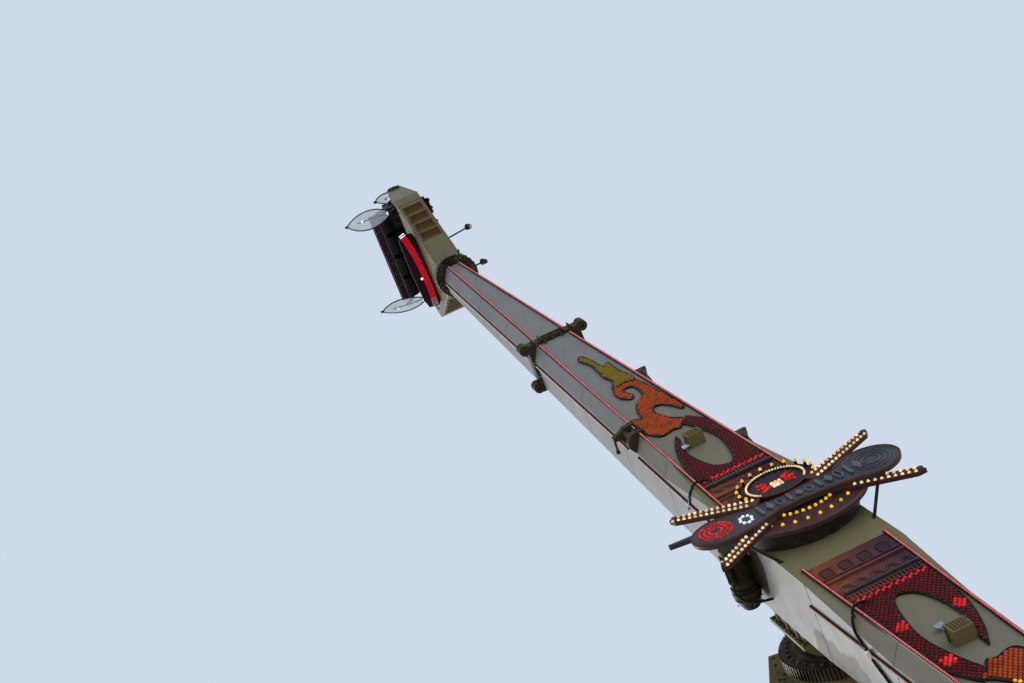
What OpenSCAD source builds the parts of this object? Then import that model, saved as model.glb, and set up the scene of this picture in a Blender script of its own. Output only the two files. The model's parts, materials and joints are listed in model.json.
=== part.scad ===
// Propeller arm ride at 1:2, with its boom leaning as the rest pose has it.
// X is to the right, Y to the rear and Z up. The origin is on the ground, in the middle of the base.

/* [Boom] */
// Height of the boom's turning axis above the ground
hub_height = 16550; // [16450:10:17500]
// How far the boom leans to the left, in degrees
boom_lean = 15; // [0:1:30]
// Distance of the boom's front face before the middle of the base
boom_front = 1700; // [1500:10:1900]
// Width of the boom at its hub
hub_w = 832; // [760:2:900]
// Depth of the boom at its hub
hub_d = 660; // [600:2:700]
// Half the length of the straight part at the hub
hub_flat = 960; // [900:10:1200]
// Distance from the axis to the boom's end
boom_reach = 12330; // [12000:10:12350]
// Width of the boom at its end
tip_w = 364; // [320:2:420]
// Depth of the boom at its end
tip_d = 330; // [300:2:380]
// Distance from the axis to the transport joint
joint_z = 7250; // [6600:10:8000]
// Width of the cut corners along the front
chamfer_w = 80; // [60:1:90]
// Depth of the cut corners along the front
chamfer_d = 145; // [100:1:170]
// Where the cut corners reach their full size
chamfer_full_z = 2350; // [1800:10:3000]

/* [Joint flanges and brackets] */
// Thickness of one joint flange
flange_t = 75; // [50:1:100]
// Gap between the two flanges of a joint
flange_gap = 8; // [4:1:20]
// How far a flange stands out round the boom
flange_lip = 34; // [20:1:50]
// Radius of a corner lug
lug_r = 60; // [50:1:65]
// Diameter of a lug's hole
lug_hole = 44; // [30:1:60]
// Height of the fins on the boom's right edge
fin_h = 105; // [60:1:140]
// Thickness of the fins
fin_t = 40; // [20:1:60]
// Size of the lamp boxes on the front face
lamp_box = 150; // [100:2:220]

/* [Light channels] */
// Width of a light channel
channel_w = 26; // [18:1:34]
// Height of a light channel
channel_h = 16; // [10:1:24]
// Depth behind the front face of the channel on each side
side_channel_y = 190; // [175:1:230]

/* [Sign] */
// Thickness of the sign boards
board_t = 36; // [24:1:50]
// Half the distance between the middles of the long board's round ends
board_reach = 620; // [590:5:640]
// Radius of the long board's round ends
board_rise = 250; // [235:1:260]
// How far the long board's middle lies below the axis
board_drop = 80; // [60:5:90]
// Radius of the lower board
bowl_r = 530; // [500:1:560]
// Radius of the round medallion
crest_r = 330; // [315:1:340]
// Radius of the drum behind the sign
drum_r = 462; // [440:1:520]
// Thickness of the drum
drum_t = 130; // [100:1:170]
// Width of a ray at its root
ray_w = 130; // [90:1:150]

/* [Turning gear] */
// Half the width of the turning plate
plate_half_w = 422; // [400:1:440]
// Half the height of the turning plate
plate_half_h = 353; // [340:1:400]
// Thickness of the turning plate
plate_t = 34; // [20:1:50]
// Length of the square neck behind the boom
neck_l = 132; // [100:1:160]
// Number of teeth on the slewing ring
ring_teeth = 96; // [80:1:110]
// Tip radius of the slewing ring's teeth
ring_tip_r = 528; // [500:1:540]
// Depth of a tooth
tooth_d = 18; // [12:1:24]
// Thickness of the toothed ring
ring_t = 110; // [80:1:130]
// Diameter of the side motor
motor_d = 230; // [180:1:260]
// Length of the side motor
motor_l = 560; // [450:5:600]

/* [Tower and base] */
// Width of the tower
tower_w = 1400; // [1300:10:1450]
// Depth of the tower
tower_d = 1050; // [900:10:1200]
// Width of the tower head at its top
head_w = 1254; // [1180:2:1260]
// Height of the tower head above the axis
head_rise = 460; // [440:2:560]
// How far the tower head reaches below the axis
head_drop = 560; // [540:10:800]
// Height of the joint between the tower's sections
tower_joint_z = 8400; // [7500:50:9500]
// Length of the base frame
base_l = 6600; // [6000:50:7600]
// Height of the base frame's beams
beam_h = 380; // [300:5:400]
// Height of the base beams above the ground
beam_lift = 60; // [40:1:100]
// Distance of the outrigger feet from the middle
foot_x = 4050; // [3600:10:4400]
// Diameter of a foot pad
pad_d = 520; // [400:5:600]
// Width of the loading deck
deck_w = 5200; // [4600:10:6000]
// Thickness of the deck plates
deck_t = 30; // [20:1:40]

/* [Gondolas] */
// Outer radius of the slewing ring at the boom's end
end_ring_r = 290; // [270:1:320]
// Thickness of one hoop of that ring
hoop_t = 84; // [60:1:100]
// Distance from the boom's end to the gondola's axis
pivot_reach = 2770; // [2740:5:2850]
// Half the length of the fan carrier
fan_reach = 870; // [850:1:920]
// Thickness of the fan carrier
fan_w = 364; // [300:2:400]
// Distance of the carrier's outer edge beyond the boom's end
fan_edge = 1880; // [1750:5:1900]
// Distance between seats
seat_pitch = 340; // [300:1:345]
// Width of a seat
seat_w = 274; // [230:1:290]
// How far the gondola has swung from hanging below the boom, in degrees
gondola_angle = 125; // [0:1:180]

/* [Hidden] */
$fn = 48;
axis_y = 165; // gondola axis behind the boom's front face
channel_in = 330; // front channels, from the middle line at the hub
channel_mid = 182; // at the joint
channel_out = 76; // at the boom's end
channel_start = 813;
channel_ref_z = 1063; // where channel_in is measured
clamp_z = 3200; // lower end of the clamp on the left edge
clamp_l = 330;
clamp_out = 100; // how far it stands out at the side
fins = [[4750, 500], [2030, 480]]; // lower end and length
fin_y = 90;
lamp_box_z = [2350, 2620]; // on the upper and the lower half
crest_place = [25, 420]; // middle of the medallion
crest_ring_r = 255; // its raised part
bowl_place = [50, 0];
ray_root = [0, 50];
ray_tips = [[-833, 611], [-840, -600], [901, 555], [873, -579]];
ray_start = 260; // from the root to where a ray's board begins
seats_in_row = 4;
wing_root = [437, 43]; // of the end screens, from the gondola's axis
wing_tip = [548, -670];
wing_half_w = 150;
wing_y = 790; // inner face
side_board_z = 1190; // beyond the boom's end
side_board_l = 438;
side_board_half = 560;
side_board_t = 40;
turn_gap = 0.3; // between the faces of a bearing
collar_l = 8; // step between a bearing and what it carries
seat_gap = 0.2; // between a fixed piece and the sloped face that carries it
sign_out = drum_t + 3 * board_t;
decor_margin = channel_w / 2 + 6;
decor_t = 14;
decor_ends = [833, 1463, 3030, 4460, 6180]; // where panel, crescent, scrolls and flame follow each other
axle_d = 110;
plate_y = hub_d + neck_l;
drum_neck_r = plate_half_h - 23;
drum_neck_l = 180;
ring_y = plate_y + plate_t + drum_neck_l + turn_gap;
head_front_y = 1221; // behind the boom's front face
tower_front_y = 1400;
tower_y = tower_front_y - boom_front;
head_y = head_front_y - boom_front;
head_back_y = tower_y + tower_d;
head_low_z = hub_height - head_drop;
head_top_z = hub_height + head_rise;
head_flare = 0.108;
beam_top = beam_lift + beam_h;
deck_top = beam_top + deck_t;
pivot_z = boom_reach + pivot_reach;
ring_top_z = boom_reach + 2 * hoop_t + 2 * collar_l + turn_gap;

function half_w(z) = z <= hub_flat ? hub_w / 2
    : hub_w / 2 - (hub_w - tip_w) / 2 * (z - hub_flat) / (boom_reach - hub_flat);
function depth(z) = z <= hub_flat ? hub_d
    : hub_d - (hub_d - tip_d) * (z - hub_flat) / (boom_reach - hub_flat);
function channel_x(z) = z <= joint_z
    ? channel_in - (channel_in - channel_mid) * (z - channel_ref_z) / (joint_z - channel_ref_z)
    : channel_mid - (channel_mid - channel_out) * (z - joint_z) / (boom_reach - joint_z);
function unit(v) = v / norm(v);

// A straight round bar between two points
module rod(from, to, d) {
  run = to - from;
  translate(from)
    rotate([0, acos(run[2] / norm(run)), atan2(run[1], run[0])])
      cylinder(h = norm(run), d = d);
}

// A square bar between two points
module strip(from, to, w, h) {
  run = to - from;
  translate(from)
    rotate([0, acos(run[2] / norm(run)), atan2(run[1], run[0])])
      translate([-h / 2, -w / 2, 0]) cube([h, w, norm(run)]);
}

// An outline in X and Z, made y0 to y1 thick
module front_plate(y0, y1) {
  translate([0, y1, 0]) rotate([90, 0, 0]) linear_extrude(y1 - y0) children();
}

// An outline in Y and Z, made x0 to x1 thick
module side_plate(x0, x1) {
  translate([x0, 0, 0]) rotate([90, 0, 90]) linear_extrude(x1 - x0) children();
}

// Everything on the outer side of the plane through three points
module beyond(p, q, r) {
  n = unit(cross(q - p, r - p));
  size = 2 * boom_reach;
  translate(p)
    rotate([0, acos(n[2]), atan2(n[1], n[0])])
      translate([-size / 2, -size / 2, 0]) cube([size, size, 900]);
}

module both_sides() {
  children();
  mirror([1, 0, 0]) children();
}

module both_ends() {
  children();
  mirror([0, 0, 1]) children();
}

// Turns what is drawn in the boom's own frame into the ride's frame
module on_boom() {
  translate([0, -boom_front, hub_height]) rotate([0, -boom_lean, 0]) children();
}

// The same piece at the upper or the lower end
module at_end(lower) {
  on_boom() rotate([0, lower ? 180 : 0, 0]) children();
}

module chamfer_cut(from, to, grow = 0) {
  front_in = [half_w(from) - chamfer_w, -grow, from];
  beyond(front_in, [half_w(from), chamfer_d - grow, from], [half_w(to) - chamfer_w, -grow, to]);
}

module chamfer_run_out(grow = 0) {
  full = chamfer_full_z;
  beyond([hub_w / 2, -grow, hub_flat], [half_w(full), chamfer_d - grow, full],
    [half_w(full) - chamfer_w, -grow, full]);
}

module boom_outline(from, to, grow = 0) {
  low = half_w(from) + grow;
  high = half_w(to) + grow;
  polygon([[-low, from], [low, from], [high, to], [-high, to]]);
}

module boom_profile(from, to, grow = 0) {
  polygon([[-grow, from], [depth(from) + grow, from], [depth(to) + grow, to], [-grow, to]]);
}

module tapered_box(from, to, grow = 0) {
  intersection() {
    front_plate(-grow, hub_d) boom_outline(from, to, grow);
    side_plate(-hub_w / 2, hub_w / 2) boom_profile(from, to, grow);
  }
}

// One tapered half of the middle section, from the straight part outward
module centre_half(grow = 0) {
  difference() {
    tapered_box(hub_flat, joint_z, grow);
    both_sides() intersection() {
      chamfer_cut(chamfer_full_z, joint_z, grow);
      chamfer_run_out(grow);
    }
  }
}

module boom_core() {
  translate([-hub_w / 2, 0, -hub_flat]) cube([hub_w, hub_d, 2 * hub_flat]);
  both_ends() centre_half();
}

module boom_centre() {
  color("#a8a48f") on_boom() boom_core();
}

module outer_boom() {
  difference() {
    tapered_box(joint_z, boom_reach);
    both_sides() chamfer_cut(joint_z, boom_reach);
  }
}

module upper_outer_boom() {
  color("#a8a48f") at_end(false) outer_boom();
}

module lower_outer_boom() {
  color("#a8a48f") at_end(true) outer_boom();
}

module flange_outline(z) {
  edge = half_w(z) + flange_lip;
  far = depth(z) + flange_lip;
  difference() {
    union() {
      polygon([[-edge, -flange_lip], [edge, -flange_lip], [edge, far], [-edge, far]]);
      for (y = [-flange_lip + lug_r / 2, far - lug_r]) {
        for (side = [-1, 1]) {
          translate([side * (edge + lug_r / 2), y]) circle(lug_r);
        }
      }
    }
    for (y = [-flange_lip + lug_r / 2, far - lug_r]) {
      for (side = [-1, 1]) {
        translate([side * (edge + lug_r / 2), y]) circle(d = lug_hole);
      }
    }
  }
}

module joint_flanges() {
  difference() {
    for (low = [joint_z - flange_gap / 2 - flange_t, joint_z + flange_gap / 2]) {
      translate([0, 0, low]) linear_extrude(flange_t) flange_outline(joint_z);
    }
    difference() {
      tapered_box(joint_z - 200, joint_z + 200, seat_gap);
      both_sides() chamfer_cut(joint_z - 200, joint_z + 200, seat_gap);
    }
  }
}

module upper_joint_flanges() {
  color("#4d4833") at_end(false) joint_flanges();
}

module lower_joint_flanges() {
  color("#4d4833") at_end(true) joint_flanges();
}

// Clamps on the left edge and fins on the right one
module edge_fins(places) {
  front_plate(fin_y, fin_y + fin_t) for (fin = places) {
    low = fin[0];
    high = low + fin[1];
    out = half_w(high);
    polygon([[out - 60, low], [half_w(low) + 4, low], [out + 0.4 * fin_h, low + 0.55 * fin[1]],
        [out + fin_h, high - 12], [out + 0.85 * fin_h, high + 12], [out - 60, high]]);
  }
}

module clamp(low) {
  x = -half_w(low);
  grip = 84;
  for (z = [low, low + clamp_l - grip]) {
    translate([0, 0, z]) linear_extrude(grip)
      polygon([[x + 58, -58], [x - 30, -50], [x - clamp_out, 60], [x - clamp_out, 240], [x - 30, 268],
          [x + 30, 268], [x + 58, 60]]);
  }
  translate([x - clamp_out + 12, 90, low + 10]) cube([56, 70, clamp_l - 20]);
  rod([x - clamp_out + 30, 200, low + clamp_l - 30], [x - clamp_out + 50, 420, low + clamp_l - 60], 26);
}

module brackets(places) {
  difference() {
    union() {
      edge_fins(places);
      clamp(clamp_z);
    }
    centre_half(seat_gap);
  }
}

module edge_brackets() {
  color("#5c5638") {
    at_end(false) brackets(fins);
    at_end(true) brackets([fins[0]]);
  }
}

module lamp_boxes() {
  wall = 14;
  color("#6f6846") for (end = [0, 1]) {
    at_end(end == 1) difference() {
      translate([-lamp_box / 2, -110, lamp_box_z[end]]) cube([lamp_box, 110, lamp_box]);
      translate([-lamp_box / 2 + wall, -200, lamp_box_z[end] + wall])
        cube([lamp_box - 2 * wall, 150, lamp_box - 2 * wall]);
    }
  }
}

module front_channels(from, to) {
  y = -channel_h / 2 - seat_gap;
  both_sides() strip([channel_x(from), y, from], [channel_x(to), y, to], channel_h, channel_w);
}

module side_channel(from, to) {
  out = channel_h / 2 + seat_gap;
  strip([half_w(from) + out, side_channel_y, from], [half_w(to) + out, side_channel_y, to],
    channel_w, channel_h);
}

module inner_channels() {
  start = hub_flat + 30;
  end = joint_z - flange_t - 60;
  front_channels(channel_start, end);
  side_channel(start, end);
  mirror([1, 0, 0]) {
    side_channel(start, clamp_z - 12);
    side_channel(clamp_z + clamp_l + 12, end);
  }
}

module outer_channels() {
  front_channels(joint_z + flange_t + 60, boom_reach - 60);
  both_sides() side_channel(joint_z + flange_t + 60, boom_reach - 60);
}

module centre_light_channels() {
  color("#b06a62") {
    at_end(false) inner_channels();
    at_end(true) inner_channels();
  }
}

module upper_light_channels() {
  color("#b06a62") at_end(false) outer_channels();
}

module lower_light_channels() {
  color("#b06a62") at_end(true) outer_channels();
}

module long_board_outline() {
  waist = [[-340, 150], [-80, 100], [160, 125], [390, 130]];
  belly = [[400, -190], [260, -150], [50, -110], [-170, -110], [-420, -200]];
  low_end = board_rise - 18;
  high_end = board_rise + 20;
  translate([-10, -board_drop]) {
    translate([-board_reach, 16]) circle(low_end);
    translate([board_reach, 0]) circle(high_end);
    polygon(concat([[-board_reach + 30, low_end]], waist, [[board_reach - 40, high_end - 16],
        [board_reach - 40, 16 - high_end]], belly, [[-board_reach + 30, 40 - low_end]]));
    polygon([[-board_reach, 60], [-1000, 160], [-1000, 190], [-board_reach, 140]]);
  }
}

module sign_board() {
  color("#4c4f54") on_boom() front_plate(-sign_out, board_t - sign_out) long_board_outline();
}

module sign_bowl() {
  color("#6d4a3c") on_boom() front_plate(2 * board_t - sign_out, 3 * board_t - sign_out) intersection() {
    translate(bowl_place) circle(bowl_r, $fn = 96);
    translate([-2 * bowl_r, -board_drop - 3 * bowl_r + 20]) square([4 * bowl_r, 3 * bowl_r]);
  }
}

module sign_crest() {
  front = board_t - sign_out;
  color("#3c2c2c") on_boom() translate([crest_place[0], 0, crest_place[1]]) difference() {
    union() {
      front_plate(front + board_t, front + 2 * board_t) circle(crest_r);
      front_plate(front, front + board_t) circle(crest_ring_r);
    }
    front_plate(front - 1, front + 14) circle(crest_ring_r - 36);
  }
}

module ray(tip) {
  run = tip - ray_root;
  end = norm(run);
  translate(ray_root) rotate(atan2(run[1], run[0]))
    polygon([[ray_start, -ray_w / 2], [end - 60, -ray_w / 3], [end, 0], [end - 60, ray_w / 3],
        [ray_start, ray_w / 2]]);
}

module sign_rays() {
  color("#7a5244") on_boom() front_plate(board_t - sign_out, 2 * board_t - sign_out) difference() {
    for (tip = ray_tips) {
      ray(tip);
    }
    translate(crest_place) circle(crest_ring_r + seat_gap);
  }
}

module hub_drum() {
  color("#2b2a24") on_boom() difference() {
    front_plate(-drum_t, 0) circle(drum_r, $fn = 96);
    front_plate(-drum_t - 1, 40 - drum_t) circle(drum_r - 60);
  }
}

module sign_struts() {
  back = 2 * board_t - sign_out;
  size = 1000;
  color("#2f2e2a") on_boom() both_ends() both_sides() difference() {
    rod([560, back - 20, -370], [370, 20, -540], 26);
    front_plate(back - 60, back) translate([0, -size]) square(size);
    front_plate(0, 60) translate([0, -size]) square(size);
  }
}

module arch_panel(low, length) {
  wide = 2 * channel_x(low + length) - 2 * decor_margin;
  difference() {
    front_plate(-decor_t, 0)
      polygon([[decor_margin - channel_x(low), low], [channel_x(low) - decor_margin, low],
          [wide / 2, low + length], [-wide / 2, low + length]]);
    for (i = [-1.5:1:1.5]) {
      translate([i * wide / 4, 0, low + 130]) front_plate(-decor_t - 1, -6) {
        square([wide / 6, wide / 6], center = true);
      }
      translate([i * wide / 4, 0, low + 300]) front_plate(-decor_t - 1, -6) {
        translate([0, 90]) circle(d = wide / 5.5);
        translate([-wide / 11, 0]) square([wide / 5.5, 90]);
      }
    }
  }
}

module oval(half_x, half_z) {
  polygon([for (a = [0:10:350]) [half_x * cos(a), half_z * sin(a)]]);
}

module crescent(low, length) {
  half_x = channel_x(low + length) - decor_margin;
  front_plate(-decor_t, 0) translate([0, low + length / 2]) difference() {
    oval(half_x, length / 2);
    translate([10, 60]) oval(half_x * 0.62, length / 2 - 170);
    translate([-90, length / 2 - 170]) rotate(8) square([150, 190]);
  }
}

// A hook with its round head at one side
module curl(x, z, r) {
  translate([x, z]) difference() {
    union() {
      circle(r);
      translate([0, -r]) square([r, r]);
    }
    circle(r * 0.62);
    translate([-r, -r]) square([r, r]);
  }
}

module scroll(low, high) {
  r = 0.62 * channel_x(high);
  front_plate(-decor_t, 0) {
    curl(-0.3 * r, low + r, r);
    mirror([1, 0]) curl(-0.3 * r, (low + high) / 2, r);
    curl(-0.3 * r, high - r, r);
  }
}

module flame(low, high) {
  half = (high - low) / 2;
  half_x = 0.55 * channel_x(low);
  arc_r = (half * half + half_x * half_x) / (2 * half_x);
  front_plate(-decor_t, 0) translate([0, low + half]) difference() {
    intersection() {
      translate([arc_r - half_x, 0]) circle(arc_r, $fn = 360);
      translate([half_x - arc_r, 0]) circle(arc_r, $fn = 360);
    }
    translate([0, -half]) oval(half_x * 0.4, half * 0.6);
  }
}

module decor() {
  bar_z = decor_ends[1] - 40;
  arch_panel(decor_ends[0], decor_ends[1] - decor_ends[0] - 50);
  front_plate(-decor_t, 0) translate([decor_margin - channel_x(bar_z + 60), bar_z])
    square([2 * channel_x(bar_z + 60) - 2 * decor_margin, 50]);
  crescent(decor_ends[1] + 90, decor_ends[2] - decor_ends[1] - 90);
  scroll(decor_ends[2] + 40, decor_ends[3]);
  flame(decor_ends[3] + 60, decor_ends[4]);
}

module upper_decor() {
  color("#9c3f24") at_end(false) decor();
}

module lower_decor() {
  color("#9c3f24") at_end(true) decor();
}

module turn_plate() {
  margin = 40;
  half_w = plate_half_w - margin;
  half_h = plate_half_h - margin;
  color("#8d8560") on_boom() {
    translate([-half_w, hub_d, -half_h]) cube([2 * half_w, neck_l, 2 * half_h]);
    translate([-plate_half_w, plate_y, -plate_half_h]) cube([2 * plate_half_w, plate_t, 2 * plate_half_h]);
    front_plate(plate_y + plate_t, plate_y + plate_t + drum_neck_l) circle(drum_neck_r);
  }
}

module hub_motor() {
  start_y = 60;
  rise = 264;
  foot = 40;
  rim = 30;
  x = -hub_w / 2 - motor_d / 2 - 2;
  color("#3a3527") on_boom() {
    translate([x, start_y, rise]) rotate([-90, 0, 0]) {
      cylinder(h = motor_l - 120, d = motor_d - rim);
      translate([0, 0, 60]) cylinder(h = rim, d = motor_d);
      translate([0, 0, motor_l - 180]) cylinder(h = 40, d = motor_d);
      translate([0, 0, motor_l - 120]) cylinder(h = 90, d1 = motor_d - 10, d2 = motor_d - 90);
    }
    translate([-hub_w / 2 - foot, start_y + 160, rise - 60]) cube([foot, 180, 120]);
  }
}

module ring_gear() {
  root_r = ring_tip_r - tooth_d;
  step = 360 / ring_teeth;
  wide = PI * root_r / ring_teeth;
  color("#2e2c26") translate([0, -boom_front, hub_height]) front_plate(ring_y, ring_y + ring_t) difference() {
    union() {
      circle(root_r, $fn = 96);
      for (i = [0:ring_teeth - 1]) {
        rotate(i * step)
          polygon([[root_r - 6, -wide * 0.55], [ring_tip_r, -wide * 0.28],
              [ring_tip_r, wide * 0.28], [root_r - 6, wide * 0.55]]);
      }
    }
    circle(drum_neck_r - 60);
  }
}

module tower_head() {
  low_half = head_w / 2 + head_flare * (head_top_z - head_low_z);
  collar_y = ring_y + ring_t - boom_front;
  color("#8d8560") {
    translate([0, 0, 0]) front_plate(head_y, head_back_y)
      polygon([[-head_w / 2, head_top_z], [head_w / 2, head_top_z], [low_half, head_low_z],
          [-low_half, head_low_z]]);
    translate([0, collar_y, hub_height]) rotate([-90, 0, 0])
      cylinder(h = head_y - collar_y, r = ring_tip_r - tooth_d - 20);
  }
}

module tower_section(low, high) {
  rim = 45;
  translate([-tower_w / 2, tower_y, low]) cube([tower_w, tower_d, high - low]);
  for (z = [low, high - rim]) {
    translate([-tower_w / 2 - rim, tower_y, z]) cube([tower_w + 2 * rim, tower_d + rim, rim]);
  }
}

module tower_lower() {
  color("#8d8560") tower_section(beam_top, tower_joint_z);
}

module tower_upper() {
  color("#8d8560") tower_section(tower_joint_z, head_low_z);
}

module tower_braces() {
  rear = base_l / 2 - 300;
  color("#77704f") both_sides() {
    difference() {
      rod([tower_w / 2 - 150, tower_y + tower_d - 60, tower_joint_z - 700], [700, rear, beam_top - 60], 220);
      translate([-tower_w, tower_y, 0]) cube([2 * tower_w, tower_d, hub_height]);
      translate([-tower_w, -base_l, -1]) cube([4 * tower_w, 2 * base_l, beam_top + 1]);
    }
  }
}

module base_frame() {
  color("#5f5b4a") {
    both_sides() translate([550, -base_l / 2, beam_lift]) cube([300, base_l, beam_h]);
    for (y = [-base_l / 2, tower_y, tower_y + tower_d - 300, base_l / 2 - 300]) {
      translate([-550, y, beam_lift]) cube([1100, 300, beam_h]);
    }
  }
}

module outrigger(y) {
  both_sides() translate([850, y, beam_lift + 40]) cube([foot_x - 850 + 130, 260, beam_h - 80]);
}

module front_outriggers() {
  color("#77704f") outrigger(-base_l / 2 + 20);
}

module rear_outriggers() {
  color("#77704f") outrigger(base_l / 2 - 280);
}

module jack_feet() {
  leg_d = 150;
  color("#4b4a45") both_sides() for (y = [-base_l / 2 + 150, base_l / 2 - 150]) {
    difference() {
      translate([foot_x + 130 + leg_d / 2, y, 30]) cylinder(h = beam_top, d = leg_d);
      translate([foot_x, y - 200, beam_lift + 40]) cube([130, 400, beam_h - 80]);
    }
    translate([foot_x + 130 + leg_d / 2, y, 0]) cylinder(h = 40, d = pad_d);
  }
  color("#4b4a45") both_sides() for (y = [-base_l / 2 + 40, tower_y, base_l / 2 - 340]) {
    translate([560, y, 0]) cube([280, 280, beam_lift]);
  }
}

module loading_deck() {
  back = tower_y - 40;
  color("#6b6a66") translate([-deck_w / 2, -base_l / 2, beam_top]) cube([deck_w, back + base_l / 2, deck_t]);
  color("#6b6a66") both_sides() for (y = [-2400, -1500]) {
    translate([900, y, beam_lift]) cube([deck_w / 2 - 960, 90, beam_h]);
  }
}

module deck_steps() {
  tread = 160;
  steps = 3;
  color("#6b6a66") both_sides() for (i = [0:steps - 1]) {
    translate([deck_w / 2 + tread * (steps - 1 - i), -2600, 0])
      cube([tread, 800, (i + 1) * deck_top / (steps + 1)]);
  }
  color("#6b6a66") both_sides() translate([deck_w / 2, -2600, 0]) cube([20, 800, deck_top]);
}

module hoop(z) {
  translate([0, axis_y, z]) difference() {
    cylinder(h = hoop_t, r = end_ring_r);
    translate([0, 0, -1]) cylinder(h = hoop_t + 2, r = end_ring_r - 70);
  }
}

module end_ring() {
  hoop(boom_reach + collar_l);
  translate([0, axis_y, boom_reach]) cylinder(h = collar_l, r = end_ring_r - 20);
}

module upper_end_ring() {
  color("#2f2a20") at_end(false) end_ring();
}

module lower_end_ring() {
  color("#2f2a20") at_end(true) end_ring();
}

module fan_outline() {
  low = ring_top_z;
  edge = boom_reach + fan_edge;
  inner = fan_reach - 110;
  arm_top = pivot_z + 120;
  polygon([[-190, low], [190, low], [fan_reach, edge - 120], [fan_reach + 50, edge], [fan_reach + 50, arm_top],
      [inner + 60, arm_top], [inner + 60, edge], [-inner - 60, edge], [-inner - 60, arm_top],
      [-fan_reach - 50, arm_top], [-fan_reach - 50, edge], [-fan_reach, edge - 120]]);
}

module fork() {
  translate([0, axis_y, 0]) {
    difference() {
      intersection() {
        side_plate(-fan_w / 2, fan_w / 2) fan_outline();
        front_plate(-fan_reach - 100, fan_reach + 100) fork_face();
      }
      fan_recesses();
      translate([0, 0, pivot_z]) rotate([90, 0, 0])
        cylinder(h = 3 * fan_reach, d = axle_d + 2 * turn_gap, center = true);
    }
    translate([0, 0, ring_top_z - hoop_t - collar_l]) cylinder(h = hoop_t, r = end_ring_r);
    translate([0, 0, ring_top_z - collar_l]) cylinder(h = collar_l, r = end_ring_r - 40);
  }
}

// Narrows the two arms that carry the gondola's axle
module fork_face() {
  edge = boom_reach + fan_edge;
  polygon([[-fan_w / 2, ring_top_z - 1], [fan_w / 2, ring_top_z - 1], [fan_w / 2, edge], [110, pivot_z],
      [80, pivot_z + 121], [-80, pivot_z + 121], [-110, pivot_z], [-fan_w / 2, edge]]);
}

module fan_recesses() {
  slope = atan2(fan_reach - 190, fan_edge - 120 - (ring_top_z - boom_reach));
  for (end = [-1, 1]) {
    translate([0, end * 190, ring_top_z]) rotate([-end * slope, 0, 0])
      for (i = [0:3]) {
        translate([-fan_w / 2 + 60, -14, 700 + i * 240]) cube([fan_w - 120, 28, 150]);
      }
  }
}

module upper_fork() {
  color("#a39a6c") at_end(false) fork();
}

module lower_fork() {
  color("#a39a6c") at_end(true) fork();
}

module stalk(y, z) {
  x = fan_w / 2;
  translate([0, axis_y, 0]) {
    translate([x, y - 30, z - 30]) cube([14, 60, 60]);
    rod([x + 7, y, z], [x + 330, y - 40, z - 40], 22);
    translate([x + 345, y - 40, z - 40]) rotate([0, -30, 0]) cylinder(h = 80, d1 = 60, d2 = 90, center = true);
  }
}

module lamp_stalks() {
  stalk(-330, boom_reach + 900);
  rise = ring_top_z - hoop_t / 2;
  translate([0, axis_y, rise]) {
    rod([end_ring_r + seat_gap, 0, 0], [end_ring_r + 130, 0, 0], 22);
    translate([end_ring_r + 140, 0, 0]) rotate([0, -30, 0])
      cylinder(h = 80, d1 = 60, d2 = 90, center = true);
  }
}

module upper_lamp_stalks() {
  color("#26282c") at_end(false) lamp_stalks();
}

module lower_lamp_stalks() {
  color("#26282c") at_end(true) lamp_stalks();
}

// A board on the carrier's left side that faces the hub
module side_board() {
  wide = side_board_half * 0.9;
  translate([0, axis_y, boom_reach + side_board_z]) {
    linear_extrude(side_board_t)
      polygon([[-fan_w / 2, -wide], [-fan_w / 2, wide], [-fan_w / 2 - 90, side_board_half],
          [-fan_w / 2 - side_board_l, wide * 0.9], [-fan_w / 2 - side_board_l, -wide * 0.9],
          [-fan_w / 2 - 90, -side_board_half]]);
    for (y = [-320, 320]) {
      translate([0, y + 10, side_board_t]) rotate([90, 0, 0]) linear_extrude(20)
        polygon([[-fan_w / 2, 0], [-fan_w / 2, 300], [60 - fan_w / 2 - side_board_l, 0]]);
    }
  }
}

module upper_side_board() {
  color("#4a1c22") at_end(false) side_board();
}

module lower_side_board() {
  color("#4a1c22") at_end(true) side_board();
}

// Places a gondola, drawn hanging with its axle at the origin
module in_gondola(lower) {
  at_end(lower) translate([0, axis_y, pivot_z]) rotate([0, gondola_angle, 0]) children();
}

module gondola_body() {
  half = seats_in_row * seat_pitch / 2;
  axle_end = fan_reach + 50;
  translate([-60, -half, -260]) cube([120, 2 * half, 640]);
  translate([-250, -half, -330]) cube([500, 2 * half, 70]);
  both_rows() translate([250, -half, -430]) cube([30, 2 * half, 170]);
  for (end = [-1, 1]) {
    translate([0, end * (half + 15), 0]) rotate([90, 0, 0]) cylinder(h = 30, d = 260, center = true);
    translate([0, end * (half + (axle_end - half) / 2), 0]) rotate([90, 0, 0])
      cylinder(h = axle_end - half, d = axle_d, center = true);
  }
}

module both_rows() {
  children();
  mirror([1, 0, 0]) children();
}

module upper_gondola_frame() {
  color("#4a1c22") in_gondola(false) gondola_body();
}

module lower_gondola_frame() {
  color("#4a1c22") in_gondola(true) gondola_body();
}

module seat_profile() {
  polygon([[60, -260], [300, -260], [318, -190], [150, -170], [114, 60], [114, 400], [60, 420]]);
}

module seat_rows() {
  both_rows() for (i = [0:seats_in_row - 1]) {
    y = (i - (seats_in_row - 1) / 2) * seat_pitch;
    front_plate(y - seat_w / 2, y + seat_w / 2) seat_profile();
  }
}

module upper_seats() {
  color("#202226") in_gondola(false) seat_rows();
}

module lower_seats() {
  color("#202226") in_gondola(true) seat_rows();
}

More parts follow.
